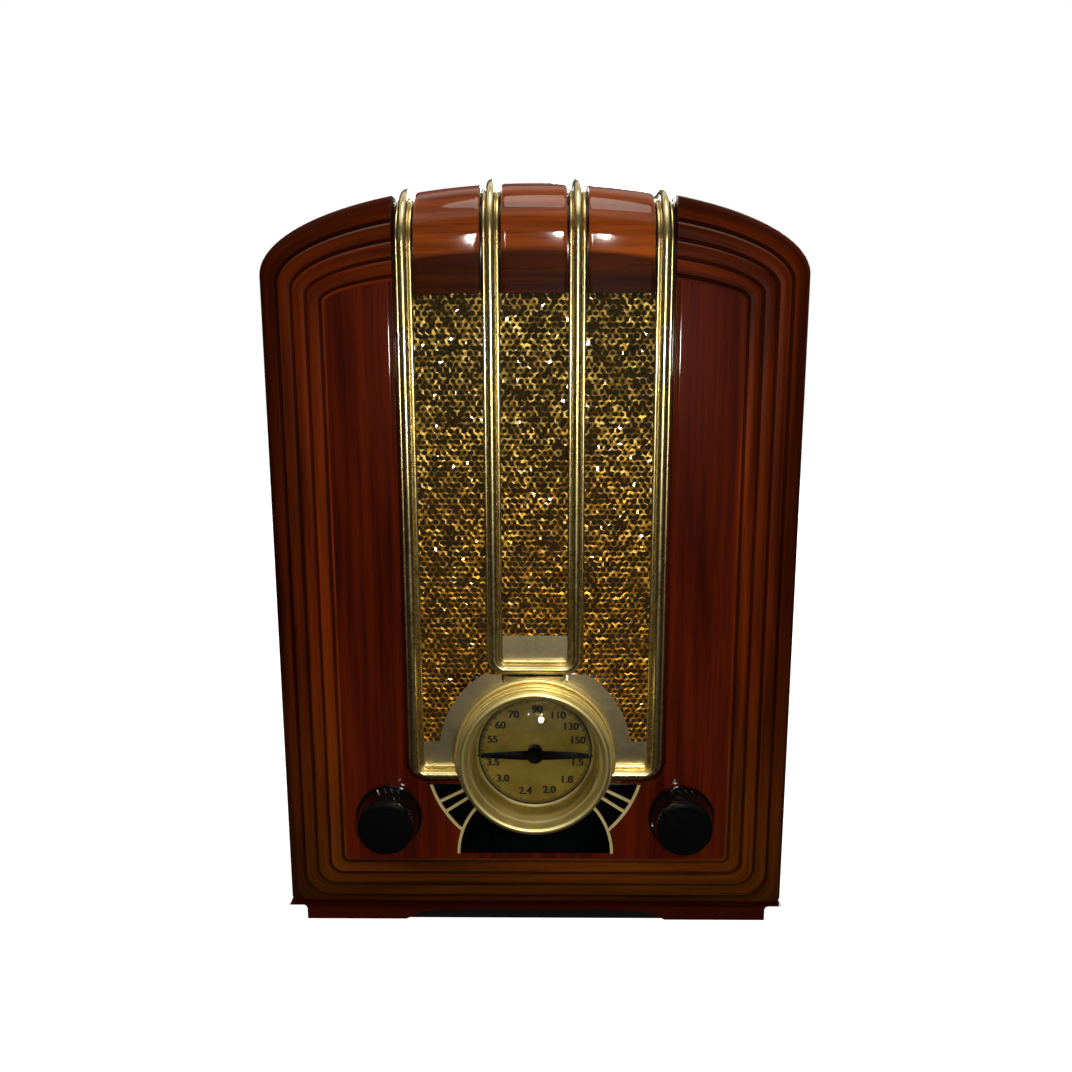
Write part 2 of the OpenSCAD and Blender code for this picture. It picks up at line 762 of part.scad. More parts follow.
module speaker_cone() {
    cone_r = speaker_r - rim_in - 2;
    color("#3c342b") spun(0, speaker_z) polygon([
        [cone_r, basket_y], [speaker_r - rim_in + 1, basket_y], [speaker_r - rim_in + 1, basket_y - 0.8],
        [cone_r - 3, basket_y - 0.8], [throat_r - 8, basket_y + basket_l * 0.6],
        [0, basket_y + basket_l * 0.6],
        [0, basket_y + basket_l * 0.6 + 0.9], [throat_r - 7.6, basket_y + basket_l * 0.6 + 0.9]]);
}

module field_coil() {
    y0 = basket_y + basket_l;
    plate = 3;
    color(black) spun(0, speaker_z) polygon([
        [0, y0], [field_r + 4, y0], [field_r + 4, y0 + plate], [field_r, y0 + plate],
        [field_r, y0 + field_l - plate], [field_r + 2, y0 + field_l - plate], [field_r + 2, y0 + field_l],
        [0, y0 + field_l]]);
}

// A transformer: laminated core, a coil that stands proud of it, and two feet.
module transformer(w, d, h) {
    coil_in = w * 0.2;
    translate([-w / 2, -d / 2 + d * 0.2, 0]) cube([w, d * 0.6, h]);
    translate([-w / 2 + coil_in, -d / 2, h * 0.16]) cube([w - 2 * coil_in, d, h * 0.68]);
}

output_w = 42;
output_d = 30;
output_h = 32;
module output_transformer() {
    y0 = fy + basket_y + basket_l + 3 + output_d / 2;
    color("#4a4640") translate([0, y0, speaker_z + field_r - seam])
        difference() {
            transformer(output_w, output_d, output_h);
            translate([0, 0, -field_r + seam]) rotate([90, 0, 0])
                cylinder(r = field_r + 2 + seam, h = 2 * output_d, center = true);
        }
}

// Chassis: a steel pan, open below, with turned-in lips that the bolts hold down.
lip_w = 16;
chassis_x = half_w - chassis_side;
chassis_y0 = fy + chassis_y;
chassis_y1 = by - chassis_back;
bolt_r = 2;
bolt_gap = 0.3;
bolt_end = 14;
bolt_in = 9;
bolt_at = [for (x = [-1, 1], y = [chassis_y0 + bolt_end, chassis_y1 - bolt_end]) [x * (chassis_x - bolt_in), y]];
gang_len = rotor_count * rotor_pitch + 9;
gang_y1 = gang_y + gang_len;
gang_foot = 8;
row_in = 20;
row_x = chassis_x - row_in;
valve_at = [[row_x, 148], [48, 156], [0, 156], [-32, 116], [row_x, 98]];
shielded = 1;
can_at = [[52, 108], [row_x, 52]];
power_at = [-row_x + 20, 146];
smooth_at = [4 - row_x, 84];
socket_hole = base_r - 2;
grommet_at = [row_x - 2, 40];
grommet_r = 7;
lever_at = [34, 52];
lever_slot = [7, 2];

module chassis() {
    color(tin) difference() {
        union() {
            box(-chassis_x, chassis_x, chassis_y0, chassis_y1, deck_z - sheet_t, deck_z);
            box(-chassis_x, chassis_x, chassis_y0, chassis_y0 + sheet_t, foot_h, deck_z);
            box(-chassis_x, chassis_x, chassis_y1 - sheet_t, chassis_y1, foot_h, deck_z);
            for (s = [0, 1]) mirror([s, 0, 0]) {
                box(chassis_x - sheet_t, chassis_x, chassis_y0, chassis_y1, foot_h, deck_z);
                box(chassis_x - lip_w, chassis_x, chassis_y0, chassis_y1, foot_h, foot_h + sheet_t);
            }
        }
        for (s = [-1, 1]) rod_y(s * knob_x, knob_z, bush_r, chassis_y - 1, chassis_y + sheet_t + 1);
        for (p = bolt_at) translate([p[0], p[1], 0]) cylinder(r = bolt_r, h = deck_z / 2);
        for (p = valve_at) translate([p[0], fy + p[1], deck_z - 5]) cylinder(r = socket_hole, h = 9);
        box(-gang_half - sheet_t, gang_half + sheet_t, fy + gang_y, fy + gang_y1, deck_z - 9, deck_z + 1);
        translate([grommet_at[0], by, grommet_at[1]]) rotate([90, 0, 0])
            cylinder(r = grommet_r, h = chassis_back + 2 * sheet_t);
        box(lever_at[0] - lever_slot[0], lever_at[0] + lever_slot[0], by - chassis_back - 2 * sheet_t, by,
            lever_at[1] - lever_slot[1], lever_at[1] + lever_slot[1]);
    }
}

bolt_head_r = 2 * bolt_r;
bolt_head_h = 1.6 * bolt_r;
module chassis_bolts() {
    color(steel) for (p = bolt_at) translate([p[0], p[1], 0]) {
        translate([0, 0, floor_z - bolt_head_h]) cylinder(r = bolt_head_r, h = bolt_head_h, $fn = 6);
        translate([0, 0, floor_z]) cylinder(r = bolt_r, h = foot_h + sheet_t + 2 * bolt_r - floor_z);
        translate([0, 0, foot_h + sheet_t]) cylinder(r = bolt_head_r, h = 1.5 * bolt_r, $fn = 6);
    }
}

// Tuning capacitor: a trough with end plates sits in the deck, its shaft in line with the dial.
gang_base = dial_z - gang_drop;
end_top = dial_z + 9;
module gang_frame() {
    inner = gang_half;
    outer = gang_half + sheet_t;
    color(steel) difference() {
        union() {
            slab(fy + gang_y, fy + gang_y1) polygon([
                [-outer - gang_foot, deck_z + sheet_t], [-inner, deck_z + sheet_t],
                [-inner, gang_base + sheet_t], [inner, gang_base + sheet_t],
                [inner, deck_z + sheet_t], [outer + gang_foot, deck_z + sheet_t],
                [outer + gang_foot, deck_z], [outer, deck_z], [outer, gang_base],
                [-outer, gang_base], [-outer, deck_z], [-outer - gang_foot, deck_z]]);
            for (y = [gang_y, gang_y1 - 2 * sheet_t])
                box(-inner, inner, fy + y, fy + y + 2 * sheet_t, gang_base, end_top);
        }
        rod_y(0, dial_z, shaft_r + run_gap, gang_y - 1, gang_y1 + 1);
    }
}

// Stators stand between the rotor plates, in the lower half, strung on two rods.
hub_r = 5;
stator_r = 19;
strung_r = 0.9;
strung_at = [17.9, -4];
first_plate = gang_y + 2 * sheet_t + 3.3;

// One plate of the capacitor, about the shaft, a number of pitches behind the first.
module plate(i) {
    y = fy + first_plate + i * rotor_pitch;
    slab(y, y + plate_t) translate([0, dial_z]) children();
}

module stator_plates() {
    low = gang_drop - sheet_t - 1;
    color("#c8c9c4") {
        for (i = [0 : rotor_count])
            plate(i - 0.5) difference() {
                intersection() {
                    circle(r = stator_r);
                    translate([-stator_r, -low]) square([2 * stator_r, low - 1.5]);
                }
                circle(r = hub_r + 2);
            }
        for (s = [-1, 1]) rod_y(s * strung_at[0], dial_z + strung_at[1], strung_r,
            gang_y + 2 * sheet_t, gang_y1 - 2 * sheet_t);
    }
}

module rotor_plates() {
    color("#b9bab4") difference() {
        union() {
            rod_y(0, dial_z, hub_r, gang_y + 2 * sheet_t + 0.4, gang_y1 - 2 * sheet_t - 0.4);
            for (i = [0 : rotor_count - 1])
                plate(i) intersection() {
                    circle(r = rotor_r);
                    translate([-rotor_r, -rotor_r]) square([2 * rotor_r, rotor_r]);
                }
        }
        rod_y(0, dial_z, shaft_r + seam, gang_y, gang_y1);
    }
}

pointer_y = -0.6;
module rotor_shaft() {
    color(steel) rod_y(0, dial_z, shaft_r, pointer_y + pointer_t, gang_y1 + 3);
}

// Drive drum: hub, web and a rim with a groove for the cord.
module drive_drum() {
    mid = drum_y + drum_w / 2;
    half_slot = cord_t / 2 + 2 * cord_gap;
    color("#6e5a35") spun(0, dial_z) polygon([
        [shaft_r + seam, drum_y - 1], [8, drum_y - 1], [8, mid - 1],
        [drum_r - 5, mid - 1], [drum_r - 5, drum_y],
        [drum_r, drum_y], [drum_r, mid - half_slot], [drum_r - drum_groove, mid - half_slot],
        [drum_r - drum_groove, mid + half_slot], [drum_r, mid + half_slot], [drum_r, drum_y + drum_w],
        [drum_r - 5, drum_y + drum_w], [drum_r - 5, mid + 1], [8, mid + 1], [8, drum_y + drum_w + 2],
        [shaft_r + seam, drum_y + drum_w + 2]]);
}

// Double-ended pointer: round hub, tapered blades and fine tips.
module pointer() {
    blade = 0.88 * pointer_l;
    root = 0.07 * pointer_l;
    tip = 0.3 * root;
    color(black) slab(fy + pointer_y, fy + pointer_y + pointer_t) translate([0, dial_z]) {
        circle(r = 2 * root);
        for (s = [0, 1]) mirror([s, 0]) {
            polygon([[0, -root], [0.6 * blade, -root], [blade, -tip], [blade, tip], [0.6 * blade, root],
                [0, root]]);
            translate([0, -tip / 2]) square([pointer_l, tip]);
        }
    }
}

// The cord is a closed loop from the drum to the groove in the tuning spindle.
module drive_cord() {
    mid = fy + drum_y + drum_w / 2;
    module loop(grow) {
        hull() {
            translate([0, dial_z]) circle(r = drum_r - drum_groove + grow, $fn = 72);
            translate([knob_x, knob_z]) circle(r = spindle_r + grow, $fn = 32);
        }
    }
    color("#5a4a30") slab(mid - cord_t / 2, mid + cord_t / 2) difference() {
        loop(cord_gap + cord_t);
        loop(cord_gap);
    }
}

// Threaded bushes through the chassis front, each with a nut before it and a collar behind.
bush_front = 7;
nut_t = 2.5;
module shaft_bushes() {
    color(brass) for (s = [-1, 1]) difference() {
        union() {
            rod_y(s * knob_x, knob_z, bush_r, chassis_y - bush_front, chassis_y + sheet_t);
            translate([s * knob_x, fy + chassis_y - nut_t, knob_z]) rotate([-90, 0, 0])
                cylinder(r = bush_r * 1.5, h = nut_t, $fn = 6);
            rod_y(s * knob_x, knob_z, bush_r * 1.4, chassis_y + sheet_t, chassis_y + sheet_t + 1.5);
        }
        rod_y(s * knob_x, knob_z, shaft_r + run_gap, chassis_y - bush_front - 1, chassis_y + 5);
    }
}

knob_bore = 12;
knob_back = -knob_gap;
module tuning_spindle() {
    mid = drum_y + drum_w / 2;
    color(steel) difference() {
        rod_y(knob_x, knob_z, shaft_r, knob_back - knob_bore, chassis_y + 9);
        difference() {
            rod_y(knob_x, knob_z, shaft_r + 1, mid - cord_t, mid + cord_t);
            rod_y(knob_x, knob_z, spindle_r, mid - 2 * cord_t, mid + 2 * cord_t);
        }
    }
}

// A black knob: base skirt, tapered body, domed face, three groups of four slanted flutes.
skirt_t = 1.6;
flute_groups = 3;
flutes_each = 4;
flute_step = 13;
flute_lean = 24;
module knob(x) {
    r1 = knob_r - 1;
    r2 = knob_r - 2.6;
    dome = 2.6;
    h1 = knob_h - 3.6;
    color(black) difference() {
        spun(x, knob_z) polygon(concat(
            [[0, knob_back], [knob_r, knob_back], [knob_r, knob_back - skirt_t], [r1, knob_back - skirt_t],
             [r2, knob_back - h1]],
            [for (i = [1 : 6]) let (t = 90 * i / 6)
                [r2 * cos(t), knob_back - h1 - 1 - dome * sin(t)]]));
        rod_y(x, knob_z, shaft_r + seam, knob_back - knob_bore, knob_back + 1);
        for (g = [0 : flute_groups - 1], i = [0 : flutes_each - 1]) {
            a = 90 + g * 360 / flute_groups + (i - (flutes_each - 1) / 2) * flute_step;
            translate([x, fy + knob_back - skirt_t - 1, knob_z]) rotate([0, -a, 0])
                translate([r1 - 0.5, 0, 0]) rotate([90 + flute_lean, 0, 0]) translate([0, 0, -1])
                    cylinder(r = flute_r, h = knob_h, $fn = 16);
        }
    }
}

module tuning_knob() {
    knob(knob_x);
}

module volume_knob() {
    knob(-knob_x);
}

pot_y = chassis_y + sheet_t + 1.5;
module volume_control() {
    color(steel) difference() {
        rod_y(-knob_x, knob_z, pot_r, pot_y, pot_y + pot_l);
        rod_y(-knob_x, knob_z, shaft_r + run_gap, pot_y - 1, pot_y + pot_l / 2);
    }
}

module volume_shaft() {
    color(steel) rod_y(-knob_x, knob_z, shaft_r, knob_back - knob_bore, pot_y + pot_l / 2 - 1);
}

// Valves stand in rows on the deck: socket rings, bases and shouldered glass bulbs.
socket_t = 3;
base_z = deck_z + socket_t;
function valve_profile(r, h) = [[0, 0], [base_r - 1.5, 0], [base_r - 1.5, h * 0.08], [r * 0.93, h * 0.3],
    [r, h * 0.42], [r * 0.97, h * 0.55], [r * 0.72, h * 0.68], [r * 0.6, h * 0.75], [r * 0.58, h * 0.9],
    [r * 0.46, h * 0.97], [0, h]];
module at_valves() {
    for (p = valve_at) translate([p[0], fy + p[1], 0]) children();
}

module valve_sockets() {
    color("#5b3a22") at_valves() translate([0, 0, deck_z]) difference() {
        cylinder(r = base_r + 2, h = socket_t);
        translate([0, 0, -1]) cylinder(r = base_r - 5, h = socket_t + 2);
    }
}

module valve_bases() {
    color("#2a211c") at_valves() translate([0, 0, base_z]) cylinder(r = base_r, h = base_h);
}

module valve_bulbs() {
    color("#cfd6d6", 0.4) at_valves() translate([0, 0, base_z + base_h])
        rotate_extrude() polygon(valve_profile(bulb_r, bulb_h));
}

// A two-step tin shield over one valve, with an open top.
module valve_shield() {
    r = bulb_r + 2;
    h = base_h + bulb_h * 0.75;
    p = valve_at[shielded];
    color(tin) translate([p[0], fy + p[1], base_z - socket_t]) rotate_extrude() polygon([
        [base_r + 2 + seam, 0], [r + 2, 0], [r + 2, 1], [r + 1, 1], [r + 1, h * 0.6], [r - 3, h], [r - 4, h],
        [r, h * 0.6], [r, 1], [base_r + 2 + seam, 1]]);
}

module coil_cans() {
    color(tin) for (p = can_at) translate([p[0], fy + p[1], deck_z]) {
        translate([-can_w / 2, -can_w / 2, 0]) cube([can_w, can_w, can_h]);
        cylinder(r = 3, h = can_h + 3, $fn = 24);
    }
}

module power_transformer() {
    color("#34302c") translate([power_at[0], fy + power_at[1], deck_z])
        transformer(power_w, power_d, power_h);
}

module smoothing_can() {
    color("#b4b6b8") translate([smooth_at[0], fy + smooth_at[1], deck_z]) {
        cylinder(r = smooth_r, h = smooth_h);
        cylinder(r = smooth_r + 3, h = 1.5);
    }
}

// A dial lamp on a bracket from the capacitor's frame, over the drum.
lamp_over = 12;
lamp_z = dial_z + drum_r + lamp_over;
lamp_y = 34;
lamp_r = 5;
module lamp_holder() {
    arm_w = 16;
    color(tin) {
        difference() {
            box(-arm_w / 2, arm_w / 2, fy + gang_y - sheet_t, fy + gang_y, deck_z, lamp_z + 1.6 * lamp_r);
            rod_y(0, dial_z, shaft_r + 1, gang_y - 2 * sheet_t, gang_y + 1);
        }
        box(-arm_w / 2, arm_w / 2, fy + chassis_y + sheet_t, fy + gang_y, deck_z, deck_z + sheet_t);
        rod_y(0, lamp_z, lamp_r + 1, lamp_y, gang_y - sheet_t);
    }
}

module dial_lamp() {
    color("#f2e6b8") translate([0, fy + lamp_y, lamp_z]) rotate([90, 0, 0]) {
        cylinder(r = 0.8 * lamp_r, h = 0.8 * lamp_r);
        translate([0, 0, 1.3 * lamp_r]) sphere(r = lamp_r, $fn = 32);
    }
}

// At the back: aerial and earth terminals, wave band switch, grommet for the mains lead.
strip_w = 46;
strip_h = 16;
strip_t = 2;
terminal_r = 4;
strip_at = [-52, 52];
module terminal_strip() {
    y1 = chassis_y1;
    color("#4b2f1c") box(strip_at[0] - strip_w / 2, strip_at[0] + strip_w / 2, y1, y1 + strip_t,
        strip_at[1] - strip_h / 2, strip_at[1] + strip_h / 2);
    color(brass) for (s = [-1, 1]) translate([strip_at[0] + s * strip_w / 4, y1 + strip_t, strip_at[1]])
        rotate([-90, 0, 0]) cylinder(r = terminal_r, h = terminal_r, $fn = 24);
}

switch_l = 22;
pivot_r = 1.6;
lever_y = chassis_y1 - sheet_t - 4;
module band_switch() {
    color("#3a2a1c") difference() {
        box(lever_at[0] - 14, lever_at[0] + 14, chassis_y1 - sheet_t - switch_l, chassis_y1 - sheet_t,
            lever_at[1] - 11, lever_at[1] + 11);
        box(lever_at[0] - 13, lever_at[0] + 13, chassis_y1 - sheet_t - switch_l + 3, chassis_y1,
            lever_at[1] - 2, lever_at[1] + 2);
        translate([lever_at[0], lever_pivot, 0]) cylinder(r = pivot_r + run_gap, h = deck_z - 8);
    }
}

lever_pivot = chassis_y1 - sheet_t - 12;
lever_t = 3;
module band_lever() {
    color(black) {
        translate([lever_at[0], lever_pivot, lever_at[1] - 9]) cylinder(r = pivot_r, h = 18);
        translate([lever_at[0], lever_pivot, lever_at[1] - lever_t / 2]) {
            cylinder(r = 5, h = lever_t);
            translate([-1.8, 0, 0]) cube([3.6, by - lever_pivot - 1, lever_t]);
        }
    }
}

module mains_grommet() {
    r = grommet_r;
    groove = seam;
    color("#1c1c1c") translate([grommet_at[0], fy, grommet_at[1]]) rotate([-90, 0, 0])
        rotate_extrude() polygon([
            [r - 3, chassis_y1 - fy - sheet_t - 2], [r + 2, chassis_y1 - fy - sheet_t - 2],
            [r + 2, chassis_y1 - fy - sheet_t], [r, chassis_y1 - fy - sheet_t], [r, chassis_y1 - fy],
            [r + 2, chassis_y1 - fy], [r + 2, chassis_y1 - fy + 2], [r - 3, chassis_y1 - fy + 2]]);
}

front_moulding();
front_board();
hood_left();
hood_centre();
hood_right();
bar_beds();
side_left();
side_right();
roof();
floor_board();
foot_front();
foot_left();
foot_right();
foot_back();
corner_blocks();
baffle_board();
outer_bar_left();
outer_bar_right();
inner_bars();
grille();
grille_surround();
dial_bezel();
dial_glass();
dial_plate();
apron();
apron_lines();
speaker_basket();
speaker_cone();
field_coil();
output_transformer();
chassis();
chassis_bolts();
gang_frame();
stator_plates();
rotor_plates();
rotor_shaft();
drive_drum();
pointer();
drive_cord();
shaft_bushes();
tuning_spindle();
tuning_knob();
volume_control();
volume_shaft();
volume_knob();
valve_bulbs();
valve_bases();
valve_sockets();
valve_shield();
coil_cans();
power_transformer();
smoothing_can();
dial_lamp();
lamp_holder();
terminal_strip();
band_switch();
band_lever();
mains_grommet();
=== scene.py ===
# Table radio of the 1930s: the looks of its wood, brass, glass, bakelite and inner works.
import math
import random

import bmesh
import bpy
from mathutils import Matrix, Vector


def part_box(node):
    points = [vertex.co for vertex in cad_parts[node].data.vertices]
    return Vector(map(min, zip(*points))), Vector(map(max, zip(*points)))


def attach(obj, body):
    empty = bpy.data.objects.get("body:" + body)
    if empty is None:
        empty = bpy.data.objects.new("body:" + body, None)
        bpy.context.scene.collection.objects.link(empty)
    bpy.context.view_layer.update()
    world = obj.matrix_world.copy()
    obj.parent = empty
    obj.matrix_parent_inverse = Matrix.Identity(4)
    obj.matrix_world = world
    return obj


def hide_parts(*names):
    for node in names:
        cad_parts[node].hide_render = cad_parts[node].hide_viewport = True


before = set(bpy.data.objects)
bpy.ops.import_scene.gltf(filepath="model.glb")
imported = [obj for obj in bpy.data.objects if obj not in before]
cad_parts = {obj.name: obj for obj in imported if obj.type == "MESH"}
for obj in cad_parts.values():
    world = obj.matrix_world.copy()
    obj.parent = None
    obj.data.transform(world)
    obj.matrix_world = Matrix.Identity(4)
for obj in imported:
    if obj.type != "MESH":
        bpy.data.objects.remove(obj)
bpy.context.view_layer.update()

mm = 0.001

# The camera stands where the photograph was taken from: about 0.6 m in front of the set's middle and a
# little to the right of it, at the height of the grille's upper part, tipped down.
camera = bpy.data.objects.new("camera", bpy.data.cameras.new("camera"))
camera.data.lens = 33.08
camera.data.sensor_width = 36.0
camera.data.clip_start = 0.01
camera.location = (6.0 * mm, -599.4 * mm, 324.5 * mm)
tipped_down, leaning, turned_left = 11.03, 0.1, 0.57
camera.rotation_euler = [math.radians(angle) for angle in (90 - tipped_down, leaning, turned_left)]
bpy.context.scene.collection.objects.link(camera)
bpy.context.scene.camera = camera
bpy.context.scene.view_settings.view_transform = "Standard"


# The studio is white to the camera and dim to everything that mirrors it, so that the brass and the
# lacquer have something dark to show. Only a band of ceiling over the set is brighter.
def add(tree, kind, settings=None, **sockets):
    """Adds a node; a socket gets a link from another node's socket, or a plain value."""
    node = tree.nodes.new(kind)
    for key, value in (settings or {}).items():
        setattr(node, key, value)
    for key, value in sockets.items():
        socket = node.inputs[int(key[1:])] if key[1:].isdigit() else node.inputs[key.replace("_", " ")]
        if isinstance(value, bpy.types.NodeSocket):
            tree.links.new(value, socket)
        else:
            socket.default_value = value
    return node


def math_node(tree, operation, a, b=0.0, clamp=False):
    """The result of a sum, product or comparison."""
    settings = {"operation": operation, "use_clamp": clamp}
    return add(tree, "ShaderNodeMath", settings, i0=a, i1=b).outputs[0]


def spread(tree, value, low, high, to_low=0.0, to_high=1.0):
    """The value's range from low to high, stretched over another range and held at its ends."""
    return add(tree, "ShaderNodeMapRange", None, Value=value, From_Min=low, From_Max=high,
               To_Min=to_low, To_Max=to_high).outputs[0]


def seen_directly(tree, rays):
    """One for a ray straight from the camera, through glass too; nought after any reflection."""
    bounced = math_node(tree, "ADD", rays["Glossy Depth"], rays["Diffuse Depth"])
    unbounced = math_node(tree, "LESS_THAN", bounced, 0.5)
    through = math_node(tree, "MULTIPLY", rays["Is Transmission Ray"], unbounced)
    return math_node(tree, "MAXIMUM", rays["Is Camera Ray"], through)


def part_of(tree, vector, axis):
    """One axis of a vector."""
    return add(tree, "ShaderNodeSeparateXYZ", Vector=vector).outputs[axis]


studio = bpy.data.worlds.new("studio")
studio.use_nodes = True
bpy.context.scene.world = studio
tree = studio.node_tree
tree.nodes.clear()
rays = add(tree, "ShaderNodeLightPath").outputs
place = add(tree, "ShaderNodeTexCoord").outputs["Generated"]
height = part_of(tree, place, "Z")
walls = spread(tree, height, 0.0, 0.25, 0.008, 0.09)
above_walls = spread(tree, height, 0.66, 0.74)
ceiling_glow = spread(tree, height, 0.86, 0.94, 0.8, 0.15)
ceiling = math_node(tree, "MULTIPLY", above_walls, ceiling_glow)
around = spread(tree, height, -0.3, 1.0, 0.03, 0.45)
after_mirror = math_node(tree, "GREATER_THAN", rays["Glossy Depth"], 0.5)
glassed = math_node(tree, "MULTIPLY", rays["Is Transmission Ray"], after_mirror)
mirrored = math_node(tree, "MULTIPLY", math_node(tree, "ADD", walls, ceiling),
                     math_node(tree, "MAXIMUM", rays["Is Glossy Ray"], glassed))
scattered = math_node(tree, "MULTIPLY", rays["Is Diffuse Ray"], around)
unseen = math_node(tree, "MAXIMUM", mirrored, scattered)
strength = math_node(tree, "MAXIMUM", unseen, seen_directly(tree, rays))
background = add(tree, "ShaderNodeBackground", None, Color=(1, 1, 1, 1), Strength=strength)
world_out = add(tree, "ShaderNodeOutputWorld")
tree.links.new(background.outputs[0], world_out.inputs["Surface"])


# The table top is white paper that glows to the camera. Under the set it doesn't, and there its paper is
# painted near black, a painted shadow, so the foot's arch is dark; it is dark to mirrors too. The painted
# shadow's edge lies inside the plinth's cove.
def new_material(name):
    """A material with its node tree and the sockets of its surface."""
    material = bpy.data.materials.new(name)
    material.use_nodes = True
    return material, material.node_tree, material.node_tree.nodes["Principled BSDF"].inputs


def blend_colors(tree, factor, a, b, mode="MIX"):
    """Color a where the factor is nought and b where it is one; a mode combines them otherwise."""
    settings = {"data_type": "RGBA", "blend_type": mode}
    return add(tree, "ShaderNodeMix", settings, i0=factor, i6=a, i7=b).outputs[2]


table_half = 4.0
shade_in_side, shade_in_front = 9 * mm, 5.5 * mm
table_mesh = bpy.data.meshes.new("table_top")
table_mesh.from_pydata([(-table_half, -table_half, 0), (table_half, -table_half, 0),
                        (table_half, table_half, 0), (-table_half, table_half, 0)], [], [(0, 1, 2, 3)])
table = bpy.data.objects.new("table_top", table_mesh)
bpy.context.scene.collection.objects.link(table)
table_white, tree, _ = new_material("table_white")
tree.nodes.clear()
rays = add(tree, "ShaderNodeLightPath").outputs
position = add(tree, "ShaderNodeNewGeometry").outputs["Position"]
spot = add(tree, "ShaderNodeSeparateXYZ", Vector=position).outputs
foot_low, foot_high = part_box("foot_front")
sideways = math_node(tree, "ABSOLUTE", spot["X"])
beside = math_node(tree, "GREATER_THAN", sideways, foot_high.x - shade_in_side)
before = math_node(tree, "LESS_THAN", spot["Y"], foot_low.y + shade_in_front)
behind = math_node(tree, "GREATER_THAN", spot["Y"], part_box("foot_back")[1].y)
in_open = math_node(tree, "MAXIMUM", math_node(tree, "MAXIMUM", beside, before), behind)
painted_shadow = math_node(tree, "SUBTRACT", 1.0, in_open)
# Painted shadow: under the set the paper's colour is near black.
unlit = math_node(tree, "MAXIMUM", rays["Is Glossy Ray"], painted_shadow)
paper_tone = blend_colors(tree, unlit, (0.45, 0.45, 0.45, 1), (0.02, 0.018, 0.018, 1))
paper = add(tree, "ShaderNodeBsdfDiffuse", None, Color=paper_tone)
glow = add(tree, "ShaderNodeEmission", None, Color=(1, 1, 1, 1),
           Strength=math_node(tree, "MULTIPLY", seen_directly(tree, rays), in_open))
both = add(tree, "ShaderNodeAddShader", None, i0=paper.outputs[0], i1=glow.outputs[0])
table_out = add(tree, "ShaderNodeOutputMaterial")
tree.links.new(both.outputs[0], table_out.inputs["Surface"])
table.data.materials.append(table_white)


# The lamps: a flash beside the camera, which makes the sparkle on brass and glass, three bulbs that
# mirror in the hood, a wide glow overhead that shows along its top, and a fill for the open back.
def lamp(name, place, aim, size, power, warmth=(1, 1, 1)):
    """A round lamp of a size and power, aimed at a point."""
    light = bpy.data.lights.new(name, "AREA")
    light.shape = "DISK"
    light.size = size
    light.energy = power
    light.color = warmth
    holder = bpy.data.objects.new(name, light)
    holder.location = place
    holder.rotation_euler = (Vector(aim) - Vector(place)).to_track_quat("-Z", "Y").to_euler()
    bpy.context.scene.collection.objects.link(holder)


set_middle, hood_middle = (0, 0, 0.2), (0, -0.1, 0.4)
bulb_white = (1.0, 0.95, 0.88)
lamp("flash", (0.055, -0.62, 0.32), set_middle, size=0.05, power=1.35)
for side, x, z in (("left", -0.086, 0.483), ("middle", 0.026, 0.493), ("right", 0.081, 0.49)):
    lamp("ceiling_" + side, (x, -0.85, z), set_middle, size=0.012, power=0.22, warmth=bulb_white)
lamp("ceiling_glow", (0.04, -0.25, 1.2), hood_middle, size=0.5, power=2.4, warmth=bulb_white)
lamp("back_fill", (0.5, 1.5, 0.9), set_middle, size=1.0, power=30.0)


# The reeded moulding frames the front: solid walnut, run on a spindle moulder as an outer roll and
# four grooves with crowned reeds between them, mitred and glued round the front board.
def mesh_piece(name, points, faces, material, slot, body, *stands_for, sharp_angle=35):
    """A piece from points and faces that rides a body and stands for nodes of the solid model."""
    mesh = bpy.data.meshes.new(name)
    mesh.from_pydata(points, [], faces)
    shape = bmesh.new()
    shape.from_mesh(mesh)
    bmesh.ops.recalc_face_normals(shape, faces=shape.faces)
    shape.to_mesh(mesh)
    shape.free()
    mesh.shade_smooth()
    mesh.set_sharp_from_angle(angle=math.radians(sharp_angle))
    piece = bpy.data.objects.new(name, mesh)
    bpy.context.scene.collection.objects.link(piece)
    piece.data.materials.append(material)
    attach(piece, body)
    if stands_for:
        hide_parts(*stands_for)
    return piece


def skin(rings, loop=False):
    """Points and faces of a skin through rings of equal length; its ends are closed, or meet in a loop."""
    count = len(rings[0])
    points = [p for ring in rings for p in ring]
    faces = []
    last = len(rings) if loop else len(rings) - 1
    for i in range(last):
        k = (i + 1) % len(rings)
        for j in range(count):
            m = (j + 1) % count
            faces.append((i * count + j, i * count + m, k * count + m, k * count + j))
    if not loop:
        faces.append(tuple(reversed(range(count))))
        faces.append(tuple((len(rings) - 1) * count + j for j in range(count)))
    return points, faces


def new_group(name, inputs, outputs):
    """A shader group with its two end nodes; inputs are (name, kind, value) and outputs (name, kind)."""
    group = bpy.data.node_groups.new(name, "ShaderNodeTree")
    for label, kind, value in inputs:
        socket = group.interface.new_socket(label, in_out="INPUT", socket_type="NodeSocket" + kind)
        if value is not None:
            socket.default_value = value
    for label, kind in outputs:
        group.interface.new_socket(label, in_out="OUTPUT", socket_type="NodeSocket" + kind)
    return group, group.nodes.new("NodeGroupInput").outputs, group.nodes.new("NodeGroupOutput").inputs


def stretched_noise(tree, vector, stretch, scale, detail=4.0, distortion=0.0):
    """Noise drawn out along an axis whose stretch is small."""
    moved = add(tree, "ShaderNodeMapping", None, Vector=vector, Scale=stretch).outputs[0]
    return add(tree, "ShaderNodeTexNoise", None, Vector=moved, Scale=scale, Detail=detail,
               Distortion=distortion).outputs[0]


